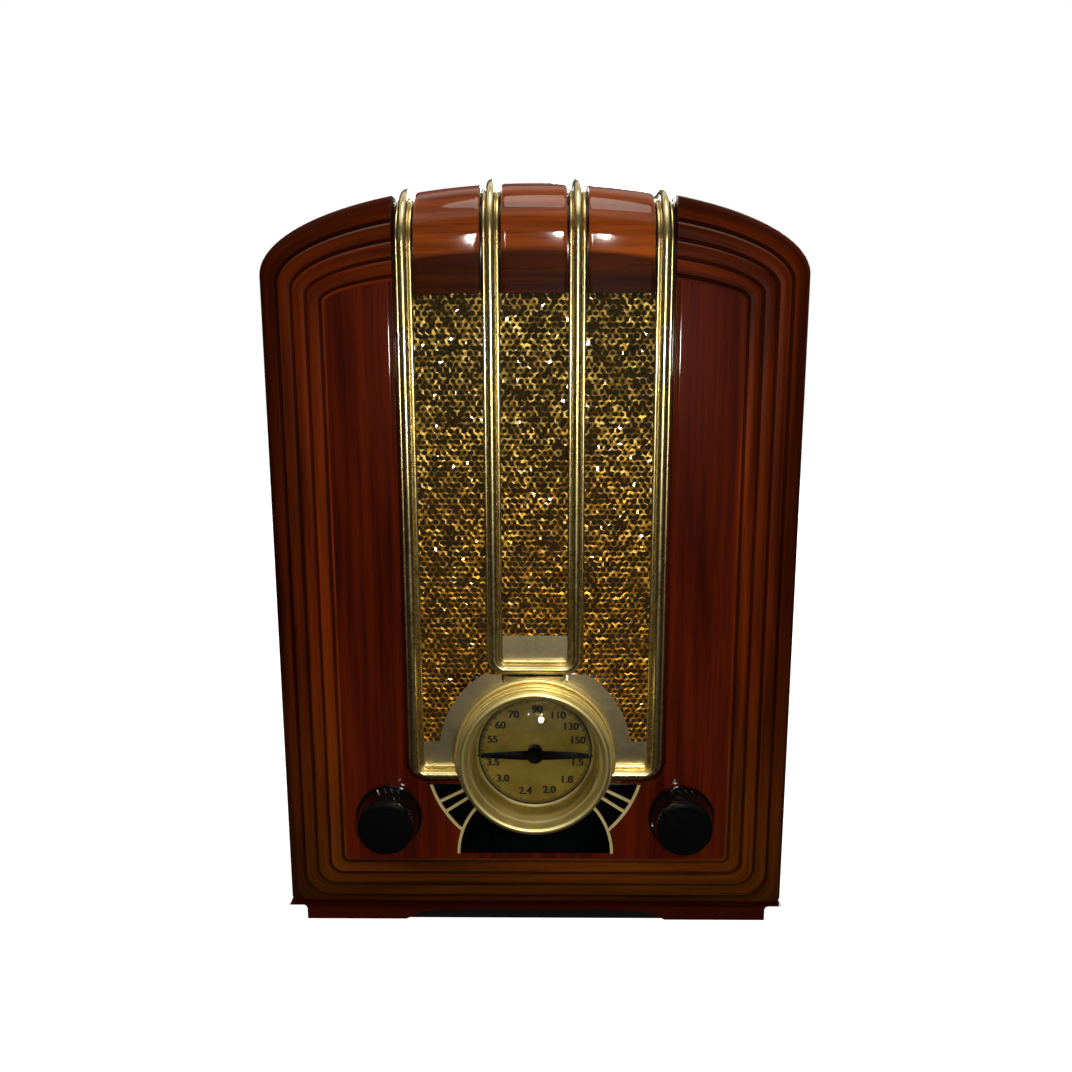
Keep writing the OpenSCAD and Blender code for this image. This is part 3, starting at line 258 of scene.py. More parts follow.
wood_grain, wood_in, wood_out = new_group(
    "wood_grain", [("Place", "Vector", None), ("Light", "Color", (0.3, 0.06, 0.01, 1)),
                   ("Dark", "Color", (0.06, 0.01, 0.002, 1)), ("Figure", "Float", 0.5)],
    [("Color", "Color"), ("Height", "Float"), ("Haze", "Float")])
streaks = stretched_noise(wood_grain, wood_in["Place"], (1, 1, 0.035), 210, 6)
figure = stretched_noise(wood_grain, wood_in["Place"], (1, 1, 0.12), 26, 4, 0.8)
fine_lines = stretched_noise(wood_grain, wood_in["Place"], (1, 1, 0.03), 1100, 2)
pores = spread(wood_grain, fine_lines, 0.6, 0.7)
streak_share, pore_share = 0.6, 0.45
figured = math_node(wood_grain, "MULTIPLY", spread(wood_grain, figure, 0.3, 0.7), wood_in["Figure"])
streaked = math_node(wood_grain, "MULTIPLY", spread(wood_grain, streaks, 0.36, 0.66), streak_share)
tone = math_node(wood_grain, "ADD", figured, streaked, True)
stained = blend_colors(wood_grain, tone, wood_in["Dark"], wood_in["Light"])
filling = math_node(wood_grain, "MULTIPLY", pores, pore_share)
filled = blend_colors(wood_grain, filling, stained, wood_in["Dark"])
wood_grain.links.new(filled, wood_out["Color"])
wood_grain.links.new(math_node(wood_grain, "SUBTRACT", streaks, pores), wood_out["Height"])
wood_grain.links.new(spread(wood_grain, figure, 0.2, 0.8, 0.32, 0.48), wood_out["Haze"])

grain_turns = {"up": (0, 0, 0), "across": (0, math.pi / 2, 0), "back": (math.pi / 2, 0, 0)}


def own_place(tree):
    """Where a point lies on its object's own axes."""
    return add(tree, "ShaderNodeTexCoord").outputs["Object"]


def mesh_value(tree, name):
    """The value of a mesh attribute."""
    return add(tree, "ShaderNodeAttribute", {"attribute_name": name}).outputs["Fac"]


def grooved(tree, place, color, shine, groove):
    """The moulding's colour: painted shade, dull, in its grooves; darker at its rim; browner low down; a
    painted highlight on its lips.
    """
    # Painted shade: the grooves' colour is blended toward the dark groove colour.
    groove_shade = mesh_value(tree, "groove")
    color = blend_colors(tree, groove_shade, color, (*groove, 1))
    rim_from, rim_to, rim_dark, inner_light = 4 * mm, 30 * mm, 0.5, 1.2
    rim = spread(tree, part_of(tree, place, "X"), rim_from, rim_to, rim_dark, inner_light)
    color = add(tree, "ShaderNodeHueSaturation", None, Color=color, Value=rim).outputs[0]
    brown_to, plain_from, groove_shine = 20 * mm, 160 * mm, 0.15
    above_sill = spread(tree, part_of(tree, own_place(tree), "Z"), brown_to, plain_from)
    browner = blend_colors(tree, above_sill, (0.9, 1.7, 1.6, 1), (1, 1, 1, 1))
    color = blend_colors(tree, 1.0, color, browner, "MULTIPLY")
    # Painted highlight: the lips of the arch's grooves are blended toward a pale colour.
    color = blend_colors(tree, mesh_value(tree, "lip"), color, (0.19, 0.1, 0.07, 1))
    return color, math_node(tree, "MULTIPLY", shine, spread(tree, groove_shade, 0.0, 1.0, 1.0, groove_shine))


def lacquered_wood(name, grain, light, dark, figure=0.55, coat=0.85, groove=None, haze=0.07):
    """Stained wood under lacquer; grain runs up, across or back, or along the attribute 'run'."""
    material, tree, surface = new_material(name)
    dust = stretched_noise(tree, own_place(tree), (1, 1, 1), 55, 6)
    shine = spread(tree, dust, 0.35, 0.75, coat, coat * 0.75)
    if grain == "run":
        place = add(tree, "ShaderNodeAttribute", {"attribute_name": "run"}).outputs["Vector"]
    else:
        turn = grain_turns[grain]
        place = add(tree, "ShaderNodeMapping", None, Vector=own_place(tree), Rotation=turn).outputs[0]
    wood = add(tree, "ShaderNodeGroup", {"node_tree": wood_grain}, Place=place, Light=(*light, 1),
               Dark=(*dark, 1), Figure=figure).outputs
    color = wood["Color"]
    if groove:
        color, shine = grooved(tree, place, color, shine, groove)
    tree.links.new(color, surface["Base Color"])
    tree.links.new(wood["Haze"], surface["Roughness"])
    tree.links.new(shine, surface["Coat Weight"])
    surface["Coat Roughness"].default_value = haze
    surface["Specular IOR Level"].default_value = 0.02
    bump = add(tree, "ShaderNodeBump", None, Strength=0.12, Distance=0.0004, Height=wood["Height"])
    tree.links.new(bump.outputs[0], surface["Normal"])
    return material


front_low, front_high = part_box("front_moulding")
front_y = front_low.y
half_width = front_high.x
foot_top = front_low.z
spring_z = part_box("side_left")[1].z
crown_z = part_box("roof")[1].z
hood_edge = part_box("bar_beds")[1].x
arch_rise = crown_z - spring_z
board_thick = front_high.y - front_low.y
roll_radius = 9 * mm
groove_first = 10 * mm
groove_pitch = 7.3 * mm
groove_half = 0.9 * mm
groove_deep = 1.7 * mm
reed_crown = 0.4 * mm
mould_width = 34 * mm
arch_shrink, spring_sink, roll_lift, sill_lift = 0.91, 0.4, 0.66, 0.96
corner_least, corner_grow, corner_shrink = 2 * mm, 1.2, 0.48


def contour(inset, arch_steps=64, corner_steps=14):
    """One line of the moulding at a distance inside the outline, from the hood round to the hood."""
    a = half_width - inset
    b = arch_rise - arch_shrink * inset
    z_spring = spring_z - spring_sink * inset
    outer, inner = min(inset, groove_first), max(inset - groove_first, 0)
    radius = corner_least + corner_grow * outer - corner_shrink * inner
    sill = foot_top + roll_lift * outer + sill_lift * inner
    start = math.acos(hood_edge / a)
    right = [(a * math.cos(t), z_spring + b * math.sin(t))
             for t in (start * (1 - i / arch_steps) for i in range(arch_steps + 1))]
    right += [(a - radius + radius * math.cos(t), sill + radius + radius * math.sin(t))
              for t in (-math.pi / 2 * i / corner_steps for i in range(corner_steps + 1))]
    return right + [(-x, z) for x, z in reversed(right)]


# The profile has the inset, the depth behind the front and the darkness of the painted groove shade at each
# line. Its first lines are the outer edge, kept square by a second line near the back.
groove_count = 4
edge_share = 0.8
groove_fade = 1.3
roll_steps, reed_steps, groove_steps = 12, 6, 8
mould_profile = [(0, board_thick, 0), (0, board_thick * edge_share, 0)]
for i in range(roll_steps + 1):
    t = math.pi / 2 * i / roll_steps
    mould_profile.append((roll_radius * (1 - math.cos(t)), roll_radius * (1 - math.sin(t)), 0))
for groove in range(groove_count):
    middle = groove_first + groove * groove_pitch
    for i in range(groove_steps + 1):
        t = math.pi * i / groove_steps
        sink = reed_crown * (0 if groove == 0 and i == 0 else 1)
        mould_profile.append((middle - groove_half * math.cos(t),
                              sink + (groove_deep - reed_crown) * math.sin(t),
                              abs(math.sin(t)) ** groove_fade))
    if groove < groove_count - 1:
        for i in range(1, reed_steps):
            u = i / reed_steps
            mould_profile.append((middle + groove_half + (groove_pitch - 2 * groove_half) * u,
                                  reed_crown * (1 - math.sin(math.pi * u)), 0))
mould_profile += [(mould_width, reed_crown, 0), (mould_width, board_thick, 0)]
mould_lines = [contour(inset) for inset, _, _ in mould_profile]
mould_rings = [[(line[j][0], front_y + depth, line[j][1])
                for line, (_, depth, _) in zip(mould_lines, mould_profile)]
               for j in range(len(mould_lines[0]))]
mould_points, mould_faces = skin(mould_rings)
# The groove colour here is the painted shade in the moulding's grooves.
walnut_reeds = lacquered_wood("walnut_reeds", "run", (0.145, 0.019, 0.0009), (0.013, 0.0013, 0.0003),
                              coat=0.0, groove=(0.01, 0.0013, 0.0003))
moulding = mesh_piece("reeded_moulding", mould_points, mould_faces, walnut_reeds, "cabinet_front",
                      "cabinet", "front_moulding")
# Attributes carry the grain's run along the moulding, the darkness of the painted shade in the grooves and
# a painted highlight on the lips of their inner edges, where they catch the light on the arch.
for label, kind in (("run", "FLOAT_VECTOR"), ("groove", "FLOAT"), ("lip", "FLOAT")):
    moulding.data.attributes.new(label, kind, "POINT")
runs, grooves, lips = (moulding.data.attributes[label].data for label in ("run", "groove", "lip"))
lip_rows = {len(mould_profile) - 3 - k * (groove_steps + reed_steps) for k in range(groove_count)}
measured_row = 20
groove_shade_strength = 0.85
lip_rise = 0.55 * arch_rise
walked = 0.0
for j, ring in enumerate(mould_rings):
    if j:
        walked += (Vector(ring[measured_row]) - Vector(mould_rings[j - 1][measured_row])).length
    # Each point gets its painted groove shade and, on the lip rows, the strength of the painted lip
    # highlight.
    for i, (inset, depth, dark) in enumerate(mould_profile):
        point = j * len(ring) + i
        runs[point].vector = (inset, depth, walked)
        grooves[point].value = groove_shade_strength * dark
        flatness = min(max((ring[i][2] - spring_z) / lip_rise, 0), 1)
        lips[point].value = flatness if i in lip_rows else 0


# The front board inside the moulding: ply faced with upright walnut veneer, glued in the moulding's
# rebate. It keeps the solid's own shape, as all dressed nodes do: a modifier only welds their vertices
# and shades the softer edges smooth.
weld_distance = 0.001 * mm
soft_angle = math.radians(30)
smooth_edges = bpy.data.node_groups.new("smooth_edges", "GeometryNodeTree")
for end in ("INPUT", "OUTPUT"):
    smooth_edges.interface.new_socket("Geometry", in_out=end, socket_type="NodeSocketGeometry")
raw = smooth_edges.nodes.new("NodeGroupInput").outputs[0]
joined = add(smooth_edges, "GeometryNodeMergeByDistance", None, Geometry=raw,
             Distance=weld_distance).outputs[0]
bent = add(smooth_edges, "GeometryNodeInputMeshEdgeAngle").outputs["Unsigned Angle"]
rounded = math_node(smooth_edges, "LESS_THAN", bent, soft_angle)
for domain, smooth in (("EDGE", rounded), ("FACE", True)):
    joined = add(smooth_edges, "GeometryNodeSetShadeSmooth", {"domain": domain}, Geometry=joined,
                 Shade_Smooth=smooth).outputs[0]
smooth_edges.links.new(joined, smooth_edges.nodes.new("NodeGroupOutput").inputs[0])


def dress(names, material):
    """Puts a material on nodes of the solid model and shades their curved faces smooth."""
    for name in names:
        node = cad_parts[name]
        node.data.materials.clear()
        node.data.materials.append(material)
        node.modifiers.new("smooth_edges", "NODES").node_group = smooth_edges


dress(["front_board"], lacquered_wood("veneer_front", "up", (0.1, 0.009, 0.0006),
                                      (0.014, 0.0012, 0.0002), figure=0.5, coat=0.6))


# The hood is a thick bullnosed lip in three blocks between the bars: solid walnut with its grain
# across, screwed from behind; the bars lie in the slots between the blocks.
hood_radius = 27 * mm
hood_set_back = 0.4 * mm
hood_face = front_y + hood_set_back
hood_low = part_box("hood_centre")[0].z
hood_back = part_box("hood_centre")[1].y
hood_raise = 2 * mm
hood_skin = 11 * mm
hood_steps, hood_arc = 14, 20
edge_soft = 0.9 * mm
edge_step = 0.3 * edge_soft


def hood_top(x):
    """Height of the hood's top, which follows the arch."""
    return spring_z + arch_rise * math.sqrt(1 - (x / half_width) ** 2) + hood_raise


def hood_slice(x, sink):
    """The hood's outline at x, drawn in by sink where a block's end is rounded."""
    top = hood_top(x) - sink
    radius = hood_radius - sink
    centre_y, centre_z = hood_face + hood_radius, hood_top(x) - hood_radius
    ring = [(x, centre_y - radius, hood_low + sink)]
    ring += [(x, centre_y - radius * math.cos(t), centre_z + radius * math.sin(t))
             for t in (math.pi / 2 * i / hood_arc for i in range(hood_arc + 1))]
    return ring + [(x, hood_back - sink, top), (x, hood_back - sink, top - hood_skin + 2 * sink),
                   (x, front_y + board_thick, top - hood_skin + 2 * sink),
                   (x, front_y + board_thick, hood_low + sink)]


walnut_hood = lacquered_wood("walnut_hood", "across", (0.33, 0.062, 0.003), (0.05, 0.006, 0.0006),
                             figure=0.6, coat=0.8, haze=0.05)
tree = walnut_hood.node_tree
# Below its curve the hood's colour is darkened, a painted shade, and its coat is duller. The attribute is a
# point's drop below the top.
shade_from, shade_to, shaded = 33.5 * mm, 36 * mm, 0.2
shade = spread(tree, mesh_value(tree, "drop"), shade_from, shade_to, 1.0, shaded)
surface = tree.nodes["Principled BSDF"].inputs
stain, shine = (surface[label].links[0].from_socket for label in ("Base Color", "Coat Weight"))
# Painted shade: the stain is darkened where a point lies far below the top.
stained = add(tree, "ShaderNodeHueSaturation", None, Color=stain, Value=shade).outputs[0]
tree.links.new(stained, surface["Base Color"])
tree.links.new(math_node(tree, "MULTIPLY", shine, shade), surface["Coat Weight"])
for side in ("left", "centre", "right"):
    low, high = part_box("hood_" + side)
    xs = [low.x + (high.x - low.x) * i / hood_steps for i in range(hood_steps + 1)]
    rings = [hood_slice(low.x, edge_soft), hood_slice(low.x + edge_step, edge_step)]
    rings += [hood_slice(x, 0) for x in [low.x + edge_soft] + xs[1:-1] + [high.x - edge_soft]]
    rings += [hood_slice(high.x - edge_step, edge_step), hood_slice(high.x, edge_soft)]
    points, faces = skin(rings)
    block = mesh_piece("hood_block_" + side, points, faces, walnut_hood, "cabinet_front", "cabinet",
                       "hood_" + side)
    drops = block.data.attributes.new("drop", "FLOAT", "POINT")
    for i, (x, _, z) in enumerate(points):
        drops.data[i].value = hood_top(x) - z
# The beds in the slots are coloured near black: a painted shade in the gaps beside the bars.
painted_slot_shade = lacquered_wood("painted_slot_shade", "across", (0.02, 0.006, 0.003), (0.006, 0.002, 0.001),
                            coat=0.3)
dress(["bar_beds"], painted_slot_shade)


# The four bars are polished brass castings with a round crest between two side beads. They lie over
# the hood in its slots, pinned from behind. The inner pair is one casting, joined in a U over the dial.
metal_wear, wear_in, wear_out = new_group(
    "metal_wear", [("Place", "Vector", None), ("Bright", "Color", (0.8, 0.62, 0.3, 1)),
                   ("Dull", "Color", (0.3, 0.2, 0.08, 1)), ("Scale", "Float", 60.0)],
    [("Color", "Color"), ("Roughness", "Float"), ("Height", "Float")])
cloud = add(metal_wear, "ShaderNodeTexNoise", None, Vector=wear_in["Place"], Scale=wear_in["Scale"],
            Detail=7.0, Roughness=0.65).outputs[0]
fine = add(metal_wear, "ShaderNodeTexNoise", None, Vector=wear_in["Place"],
           Scale=math_node(metal_wear, "MULTIPLY", wear_in["Scale"], 14.0), Detail=3.0).outputs[0]
tarnish = spread(metal_wear, cloud, 0.42, 0.72)
worn_color = blend_colors(metal_wear, tarnish, wear_in["Bright"], wear_in["Dull"])
metal_wear.links.new(worn_color, wear_out["Color"])
metal_wear.links.new(math_node(metal_wear, "ADD", tarnish, fine), wear_out["Roughness"])
metal_wear.links.new(fine, wear_out["Height"])


def worn_metal(name, bright, dull, smooth, rough, scale=60.0, bump=0.05, metallic=1.0, gloss=0.0):
    """Metal between a bright and a dull color and two roughnesses, with patches of tarnish."""
    material, tree, surface = new_material(name)
    wear = add(tree, "ShaderNodeGroup", {"node_tree": metal_wear}, Place=own_place(tree),
               Bright=(*bright, 1), Dull=(*dull, 1), Scale=scale).outputs
    tree.links.new(wear["Color"], surface["Base Color"])
    tree.links.new(spread(tree, wear["Roughness"], 0.3, 1.5, smooth, rough), surface["Roughness"])
    surface["Metallic"].default_value = metallic
    surface["Specular IOR Level"].default_value = 0.5 if metallic > 0.5 else 0.12
    surface["Coat Weight"].default_value = gloss
    surface["Coat Roughness"].default_value = 0.08
    height = add(tree, "ShaderNodeBump", None, Strength=bump, Distance=0.0003, Height=wear["Height"])
    tree.links.new(height.outputs[0], surface["Normal"])
    return material


def worn_stuff(name, bright, dull, smooth, rough, scale, bump, gloss=0.0):
    """Paper, cord, rubber, enamel or bakelite with the same kind of wear."""
    return worn_metal(name, bright, dull, smooth, rough, scale, bump, 0.0, gloss)


polished_brass = worn_metal("polished_brass", (0.86, 0.7, 0.3), (0.42, 0.33, 0.13), 0.2, 0.38, 28, 0.015,
                            gloss=0.8)
bar_in_x = 22 * mm
bar_out_x = 66 * mm
bar_width = 9 * mm
bar_high = 8.2 * mm
crest_radius = 2.3 * mm
flange_high = 3 * mm
bead_radius = 1.1 * mm
bend_radius = 6.5 * mm
grille_behind = 6 * mm
sheet_y = front_y + grille_behind
arm_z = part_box("outer_bar_right")[0].z + bar_width / 2
half_bar = bar_width / 2
bead_steps, crest_steps, hood_bends, corner_bends = 8, 7, 24, 16
bead_at, bead_high, crest_high = half_bar - bead_radius, flange_high - bead_radius, bar_high - crest_radius
crest_foot = 1.15
bar_section = [(half_bar, 0), (half_bar, bead_high)]
bar_section += [(bead_at + bead_radius * math.cos(t), bead_high + bead_radius * math.sin(t))
                for t in (math.pi * i / bead_steps for i in range(1, bead_steps + 1))]
bar_section += [(crest_radius * crest_foot, bead_high)]
bar_section += [(crest_radius * math.cos(t), crest_high + crest_radius * math.sin(t))
                for t in (math.pi / 2 * i / crest_steps for i in range(crest_steps + 1))]
bar_section += [(-across, high) for across, high in reversed(bar_section[:-1])]


def bar_path(x, bottom_z):
    """Stations of a bar over the hood and down: its place and its outward and sideways directions."""
    radius = hood_radius - (sheet_y - hood_face)
    centre_y, centre_z = hood_face + hood_radius, hood_top(abs(x)) - hood_radius
    sideways = Vector((1, 0, 0))
    stations = [(Vector((x, hood_back, centre_z + radius)), Vector((0, 0, 1)), sideways)]
    for i in range(hood_bends + 1):
        t = math.pi / 2 * (1 - i / hood_bends)
        outward = Vector((0, -math.cos(t), math.sin(t)))
        stations.append((Vector((x, centre_y, centre_z)) + outward * radius, outward, sideways))
    stations.append((Vector((x, sheet_y, bottom_z)), Vector((0, -1, 0)), sideways))
    return stations


def bend_path(x, z, start, turn):
    """Stations round a quarter bend about (x, z), from the angle start, to either side."""
    stations = []
    for i in range(corner_bends + 1):
        t = start + turn * math.pi / 2 * i / corner_bends
        away = Vector((math.cos(t), 0, math.sin(t)))
        stations.append((Vector((x, sheet_y, z)) + away * bend_radius, Vector((0, -1, 0)), away))
    return stations


def sweep_bar(name, stations, node):
    """Runs the bar's section through its stations."""
    rings = [[tuple(place + sideways * across + outward * high) for across, high in bar_section]
             for place, outward, sideways in stations]
    points, faces = skin(rings)
    return mesh_piece(name, points, faces, polished_brass, "brass_trim", "cabinet", node, sharp_angle=50)


dial_z = (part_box("dial_bezel")[0].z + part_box("dial_bezel")[1].z) / 2
bezel_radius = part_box("dial_bezel")[1].x
u_over = 4.8 * mm
u_z = dial_z + bezel_radius + u_over
arm_under_bezel = 0.5 * mm
arm_end = math.sqrt(bezel_radius ** 2 - (arm_z - half_bar - dial_z) ** 2) - arm_under_bezel
for side, name in ((-1, "left"), (1, "right")):
    stations = bar_path(side * bar_out_x, arm_z + bend_radius)
    corner_x = side * (bar_out_x - bend_radius)
    stations += [(place, outward, away * side) for place, outward, away in
                 bend_path(corner_x, arm_z + bend_radius, 0 if side > 0 else math.pi, -side)]
    stations.append((Vector((side * arm_end, sheet_y, arm_z)), Vector((0, -1, 0)), Vector((0, 0, -side))))
    sweep_bar("outer_bar_" + name + "_strip", stations, "outer_bar_" + name)
inner_stations = bar_path(-bar_in_x, u_z + bend_radius)
inner_stations += [(place, outward, -away) for place, outward, away in
                   bend_path(-bar_in_x + bend_radius, u_z + bend_radius, math.pi, 1)]
inner_stations += [(place, outward, -away) for place, outward, away in
                   bend_path(bar_in_x - bend_radius, u_z + bend_radius, -math.pi / 2, 1)]
inner_stations += [(place, outward, -sideways) for place, outward, sideways in
                   reversed(bar_path(bar_in_x, u_z + bend_radius))]
sweep_bar("inner_bars_strip", inner_stations, "inner_bars")


# Under the U a stepped brass link, part of the inner bars' casting, fills the corners between it and
# the bezel. Each step is a flat layer here.
def slab_piece(name, outline, y_front, y_back, material, slot, body, *stands_for):
    """A flat shape in X and Z, run from y_front back to y_back."""
    rings = [[(x, y, z) for x, z in outline] for y in (y_back, y_front)]
    points, faces = skin(rings)
    return mesh_piece(name, points, faces, material, slot, body, *stands_for)


link_layers = ((15 * mm, 6.4 * mm), (17 * mm, 4.4 * mm))
link_steps = 16
link_rear = sheet_y - 0.5 * mm
for layer, (link_half, link_high) in enumerate(link_layers):
    arc = [(x, dial_z + math.sqrt(bezel_radius ** 2 - x * x)) for x in
           (link_half * (1 - 2 * i / link_steps) for i in range(link_steps + 1))]
    outline = [(-link_half, u_z - half_bar), (link_half, u_z - half_bar)] + arc
    slab_piece("bar_link_%d" % layer, outline, sheet_y - link_high, link_rear, polished_brass,
               "brass_trim", "cabinet")


# The grille is soft brass sheet, pierced with small hexagons and then beaten, so that each web of
# metal catches the light at its own angle. It lies on a ledge behind the bars, over black paper.
random.seed(31)
web_pitch_x, web_pitch_z = 3.5 * mm, 2.85 * mm
hole_least, hole_most = 0.55, 1.1
hole_share = 0.86
hole_taper = 0.9
hole_tilt, hole_aside, hole_along = 0.4, 0.5, 0.45
lip_sink = 0.22 * mm
beat_depth = 0.7 * mm
beat_side = 0.7 * mm
sheet_thick = 0.7 * mm
border, dial_border = 11 * mm, 51 * mm
first_row = 0.6
column_half = bar_out_x - 1.5 * mm
plain_low = arm_z + half_bar + border
rows = int((hood_low - plain_low) / web_pitch_z) + 2
columns = int(column_half / web_pitch_x) + 1
corner_index, sheet_points, sheet_faces = {}, [], []


def sheet_corner(x, z):
    """A corner shared by three hexagons, knocked about by the hammer."""
    key = (round(x / (web_pitch_x / 6)), round(z / (web_pitch_z / 6)))
    if key not in corner_index:
        corner_index[key] = len(sheet_points)
        sheet_points.append((x + random.uniform(-beat_side, beat_side),
                             sheet_y + random.uniform(0, beat_depth),
                             z + random.uniform(-beat_side, beat_side)))
    return corner_index[key]


for row in range(rows):
    for column in range(-columns, columns + 1):
        x = (column + (row % 2) / 2) * web_pitch_x
        z = hood_low + web_pitch_z * (first_row - row)
        in_u = abs(x) < bar_in_x and z < u_z + half_bar + border
        near_dial = math.hypot(x, z - dial_z) < dial_border
        if abs(x) > column_half or in_u or near_dial or z < plain_low:
            continue
        corners = [(x + sx * web_pitch_x / 2, z + sz * web_pitch_z) for sx, sz in
                   ((0, 2 / 3), (-1, 1 / 3), (-1, -1 / 3), (0, -2 / 3), (1, -1 / 3), (1, 1 / 3))]
        outer = [sheet_corner(cx, cz) for cx, cz in corners]
        lip, back = len(sheet_points), len(sheet_points) + 6
        share = hole_share * random.uniform(hole_least, hole_most)
        tilt = random.uniform(-hole_tilt, hole_tilt) * mm
        x += random.uniform(-hole_aside, hole_aside) * mm
        z += random.uniform(-hole_along, hole_along) * mm
        for cx, cz in corners:
            sheet_points.append((x + (cx - x) * share, sheet_y + lip_sink + tilt * (cz - z) / web_pitch_z,
                                 z + (cz - z) * share))
        for cx, cz in corners:
            sheet_points.append((x + (cx - x) * share * hole_taper, sheet_y + sheet_thick,
                                 z + (cz - z) * share * hole_taper))
        for i in range(6):
            k = (i + 1) % 6
            sheet_faces.append((outer[i], outer[k], lip + k, lip + i))
            sheet_faces.append((lip + i, lip + k, back + k, back + i))
beaten_brass = worn_metal("beaten_brass", (0.44, 0.29, 0.07), (0.2, 0.105, 0.018), 0.36, 0.52, 90,
                          gloss=0.5)
# The sheet's colour carries painted light: warm and bright low down and dimmer toward the hood.
tree = beaten_brass.node_tree
warm_to, dim_from = 100 * mm, 300 * mm
risen = spread(tree, part_of(tree, own_place(tree), "Z"), warm_to, dim_from)
# Painted light: this tint brightens the sheet low down and dims it high up.
tint = blend_colors(tree, risen, (1.65, 1.15, 0.42, 1), (0.6, 0.58, 0.48, 1))
brass_color = tree.nodes["Principled BSDF"].inputs["Base Color"]
painted_light_brass = blend_colors(tree, 1.0, brass_color.links[0].from_socket, tint, "MULTIPLY")
tree.links.new(painted_light_brass, brass_color)
mesh_piece("pierced_sheet", sheet_points, sheet_faces, beaten_brass, "brass_mesh", "cabinet",
           "grille", sharp_angle=4)
backing_top, backing_low, backing_side = hood_low + 4 * mm, arm_z - half_bar + 1 * mm, bar_out_x + 3 * mm
backing_front, backing_thick = sheet_y + 1.1 * mm, 0.3 * mm
dial_gap, dial_over = 46 * mm, u_z - half_bar
backing = [(-backing_side, backing_low), (-dial_gap, backing_low), (-dial_gap, dial_over),
           (dial_gap, dial_over), (dial_gap, backing_low), (backing_side, backing_low),
           (backing_side, backing_top), (-backing_side, backing_top)]
black_paper = worn_stuff("black_paper", (0.02, 0.014, 0.005), (0.036, 0.026, 0.01), 0.9, 1.0, 90, 0.3)
slab_piece("grille_backing", backing, backing_front, backing_front + backing_thick, black_paper,
           "cone_paper", "cabinet")


# Smooth pale sheet shows round the bezel, at the feet of the side columns and inside the U; the
# solid's own shape is kept, in satin brass.
dress(["grille_surround"],
      worn_metal("satin_brass", (0.53, 0.445, 0.25), (0.312, 0.25, 0.125), 0.34, 0.55, 55, 0.03))


# The bezel is a turned brass ring in steps, with a round crest, a seat for the glass and a dished wall
# down to the dial. Its tube is held from behind by the dial plate.
def turned(name, profile, material, slot, body, node, centre_x=0.0, centre_z=dial_z, steps=160, sharp=35):
    """Turns (radius, y) pairs about a line along Y; a closed profile gives a ring, an open one a dome."""
    rings = []
    for i in range(steps):
        t = 2 * math.pi * i / steps
        rings.append([(centre_x + r * math.cos(t), y, centre_z + r * math.sin(t)) for r, y in profile])
    points, faces = skin(rings, loop=True)
    return mesh_piece(name, points, faces, material, slot, body, node, sharp_angle=sharp)


def arc_points(centre, radius, start, end, steps):
    """Points (radius, y) of an arc from one angle to another, with nought degrees outward."""
    return [(centre[0] + radius * math.cos(t), centre[1] - radius * math.sin(t)) for t in
            (math.radians(start + (end - start) * i / steps) for i in range(steps + 1))]


bezel_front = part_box("dial_bezel")[0].y
bezel_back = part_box("dial_bezel")[1].y
dial_radius = 31.5 * mm
crest_at = 39 * mm
crest_round = 1.9 * mm
bead_out = 1.1 * mm
step_lip = 0.25 * mm
glass_ledge, glass_play = 1.2 * mm, 0.4 * mm
glass_radius = 35.8 * mm
glass_front, glass_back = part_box("dial_glass")[0].y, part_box("dial_glass")[1].y
flank_steps = 3
round_in, tread_rise, tread_end = 0.3, 0.85, 0.7
flank_at = bezel_radius - 2 * bead_out
flank_in = (flank_at - crest_at - crest_round) / flank_steps
flank_up = (front_y - bezel_front - crest_round - bead_out) / flank_steps
bezel_profile = [(dial_radius, bezel_back), (bezel_radius, bezel_back)]
bezel_profile += arc_points((bezel_radius - bead_out, front_y - bead_out), bead_out, 0, 180, 10)
for i in range(flank_steps):
    r, y = flank_at - flank_in * i, front_y - bead_out - flank_up * i
    inner = r - flank_in - step_lip
    bezel_profile += [(r, y - flank_up * tread_end), (r - flank_in * round_in, y - flank_up * tread_rise),
                      (inner, y - flank_up * tread_rise), (inner, y - flank_up)]
bezel_profile += arc_points((crest_at, bezel_front + crest_round), crest_round, 8, 172, 14)
bezel_profile += [(glass_radius + glass_play, glass_back - glass_play)]
wall_out, wall_deep, wall_steps = glass_radius - glass_ledge - dial_radius, bezel_back - glass_back, 12
bezel_profile += [(dial_radius + wall_out * math.cos(t), glass_back + wall_deep * math.sin(t))
                  for t in (math.pi / 2 * i / wall_steps for i in range(wall_steps))]
bezel_gold = worn_metal("bezel_gold", (1.0, 0.84, 0.34), (0.75, 0.58, 0.2), 0.4, 0.52, 30, 0.02,
                        gloss=1.0)
turned("turned_bezel", bezel_profile, bezel_gold, "brass_trim", "cabinet", "dial_bezel", sharp=50)


# The dial glass is clear glass pressed to a shallow dome, with a ground edge, and sprung into the seat
# behind the bezel's crest.
glass_thick = 1.5 * mm
glass_rise = glass_back - glass_front - glass_thick


def clear_glass(name, tint, roughness=0.01):
    """Glass with a faint smear."""
    material, tree, surface = new_material(name)
    surface["Transmission Weight"].default_value = 1.0
    surface["IOR"].default_value = 1.46
    smear = stretched_noise(tree, own_place(tree), (1, 1, 1), 70, 5)
    tree.links.new(blend_colors(tree, spread(tree, smear, 0.4, 0.8), (*tint, 1), (0.93, 0.93, 0.9, 1)),
                   surface["Base Color"])
    tree.links.new(spread(tree, smear, 0.45, 0.8, roughness, roughness + 0.05), surface["Roughness"])
    return material


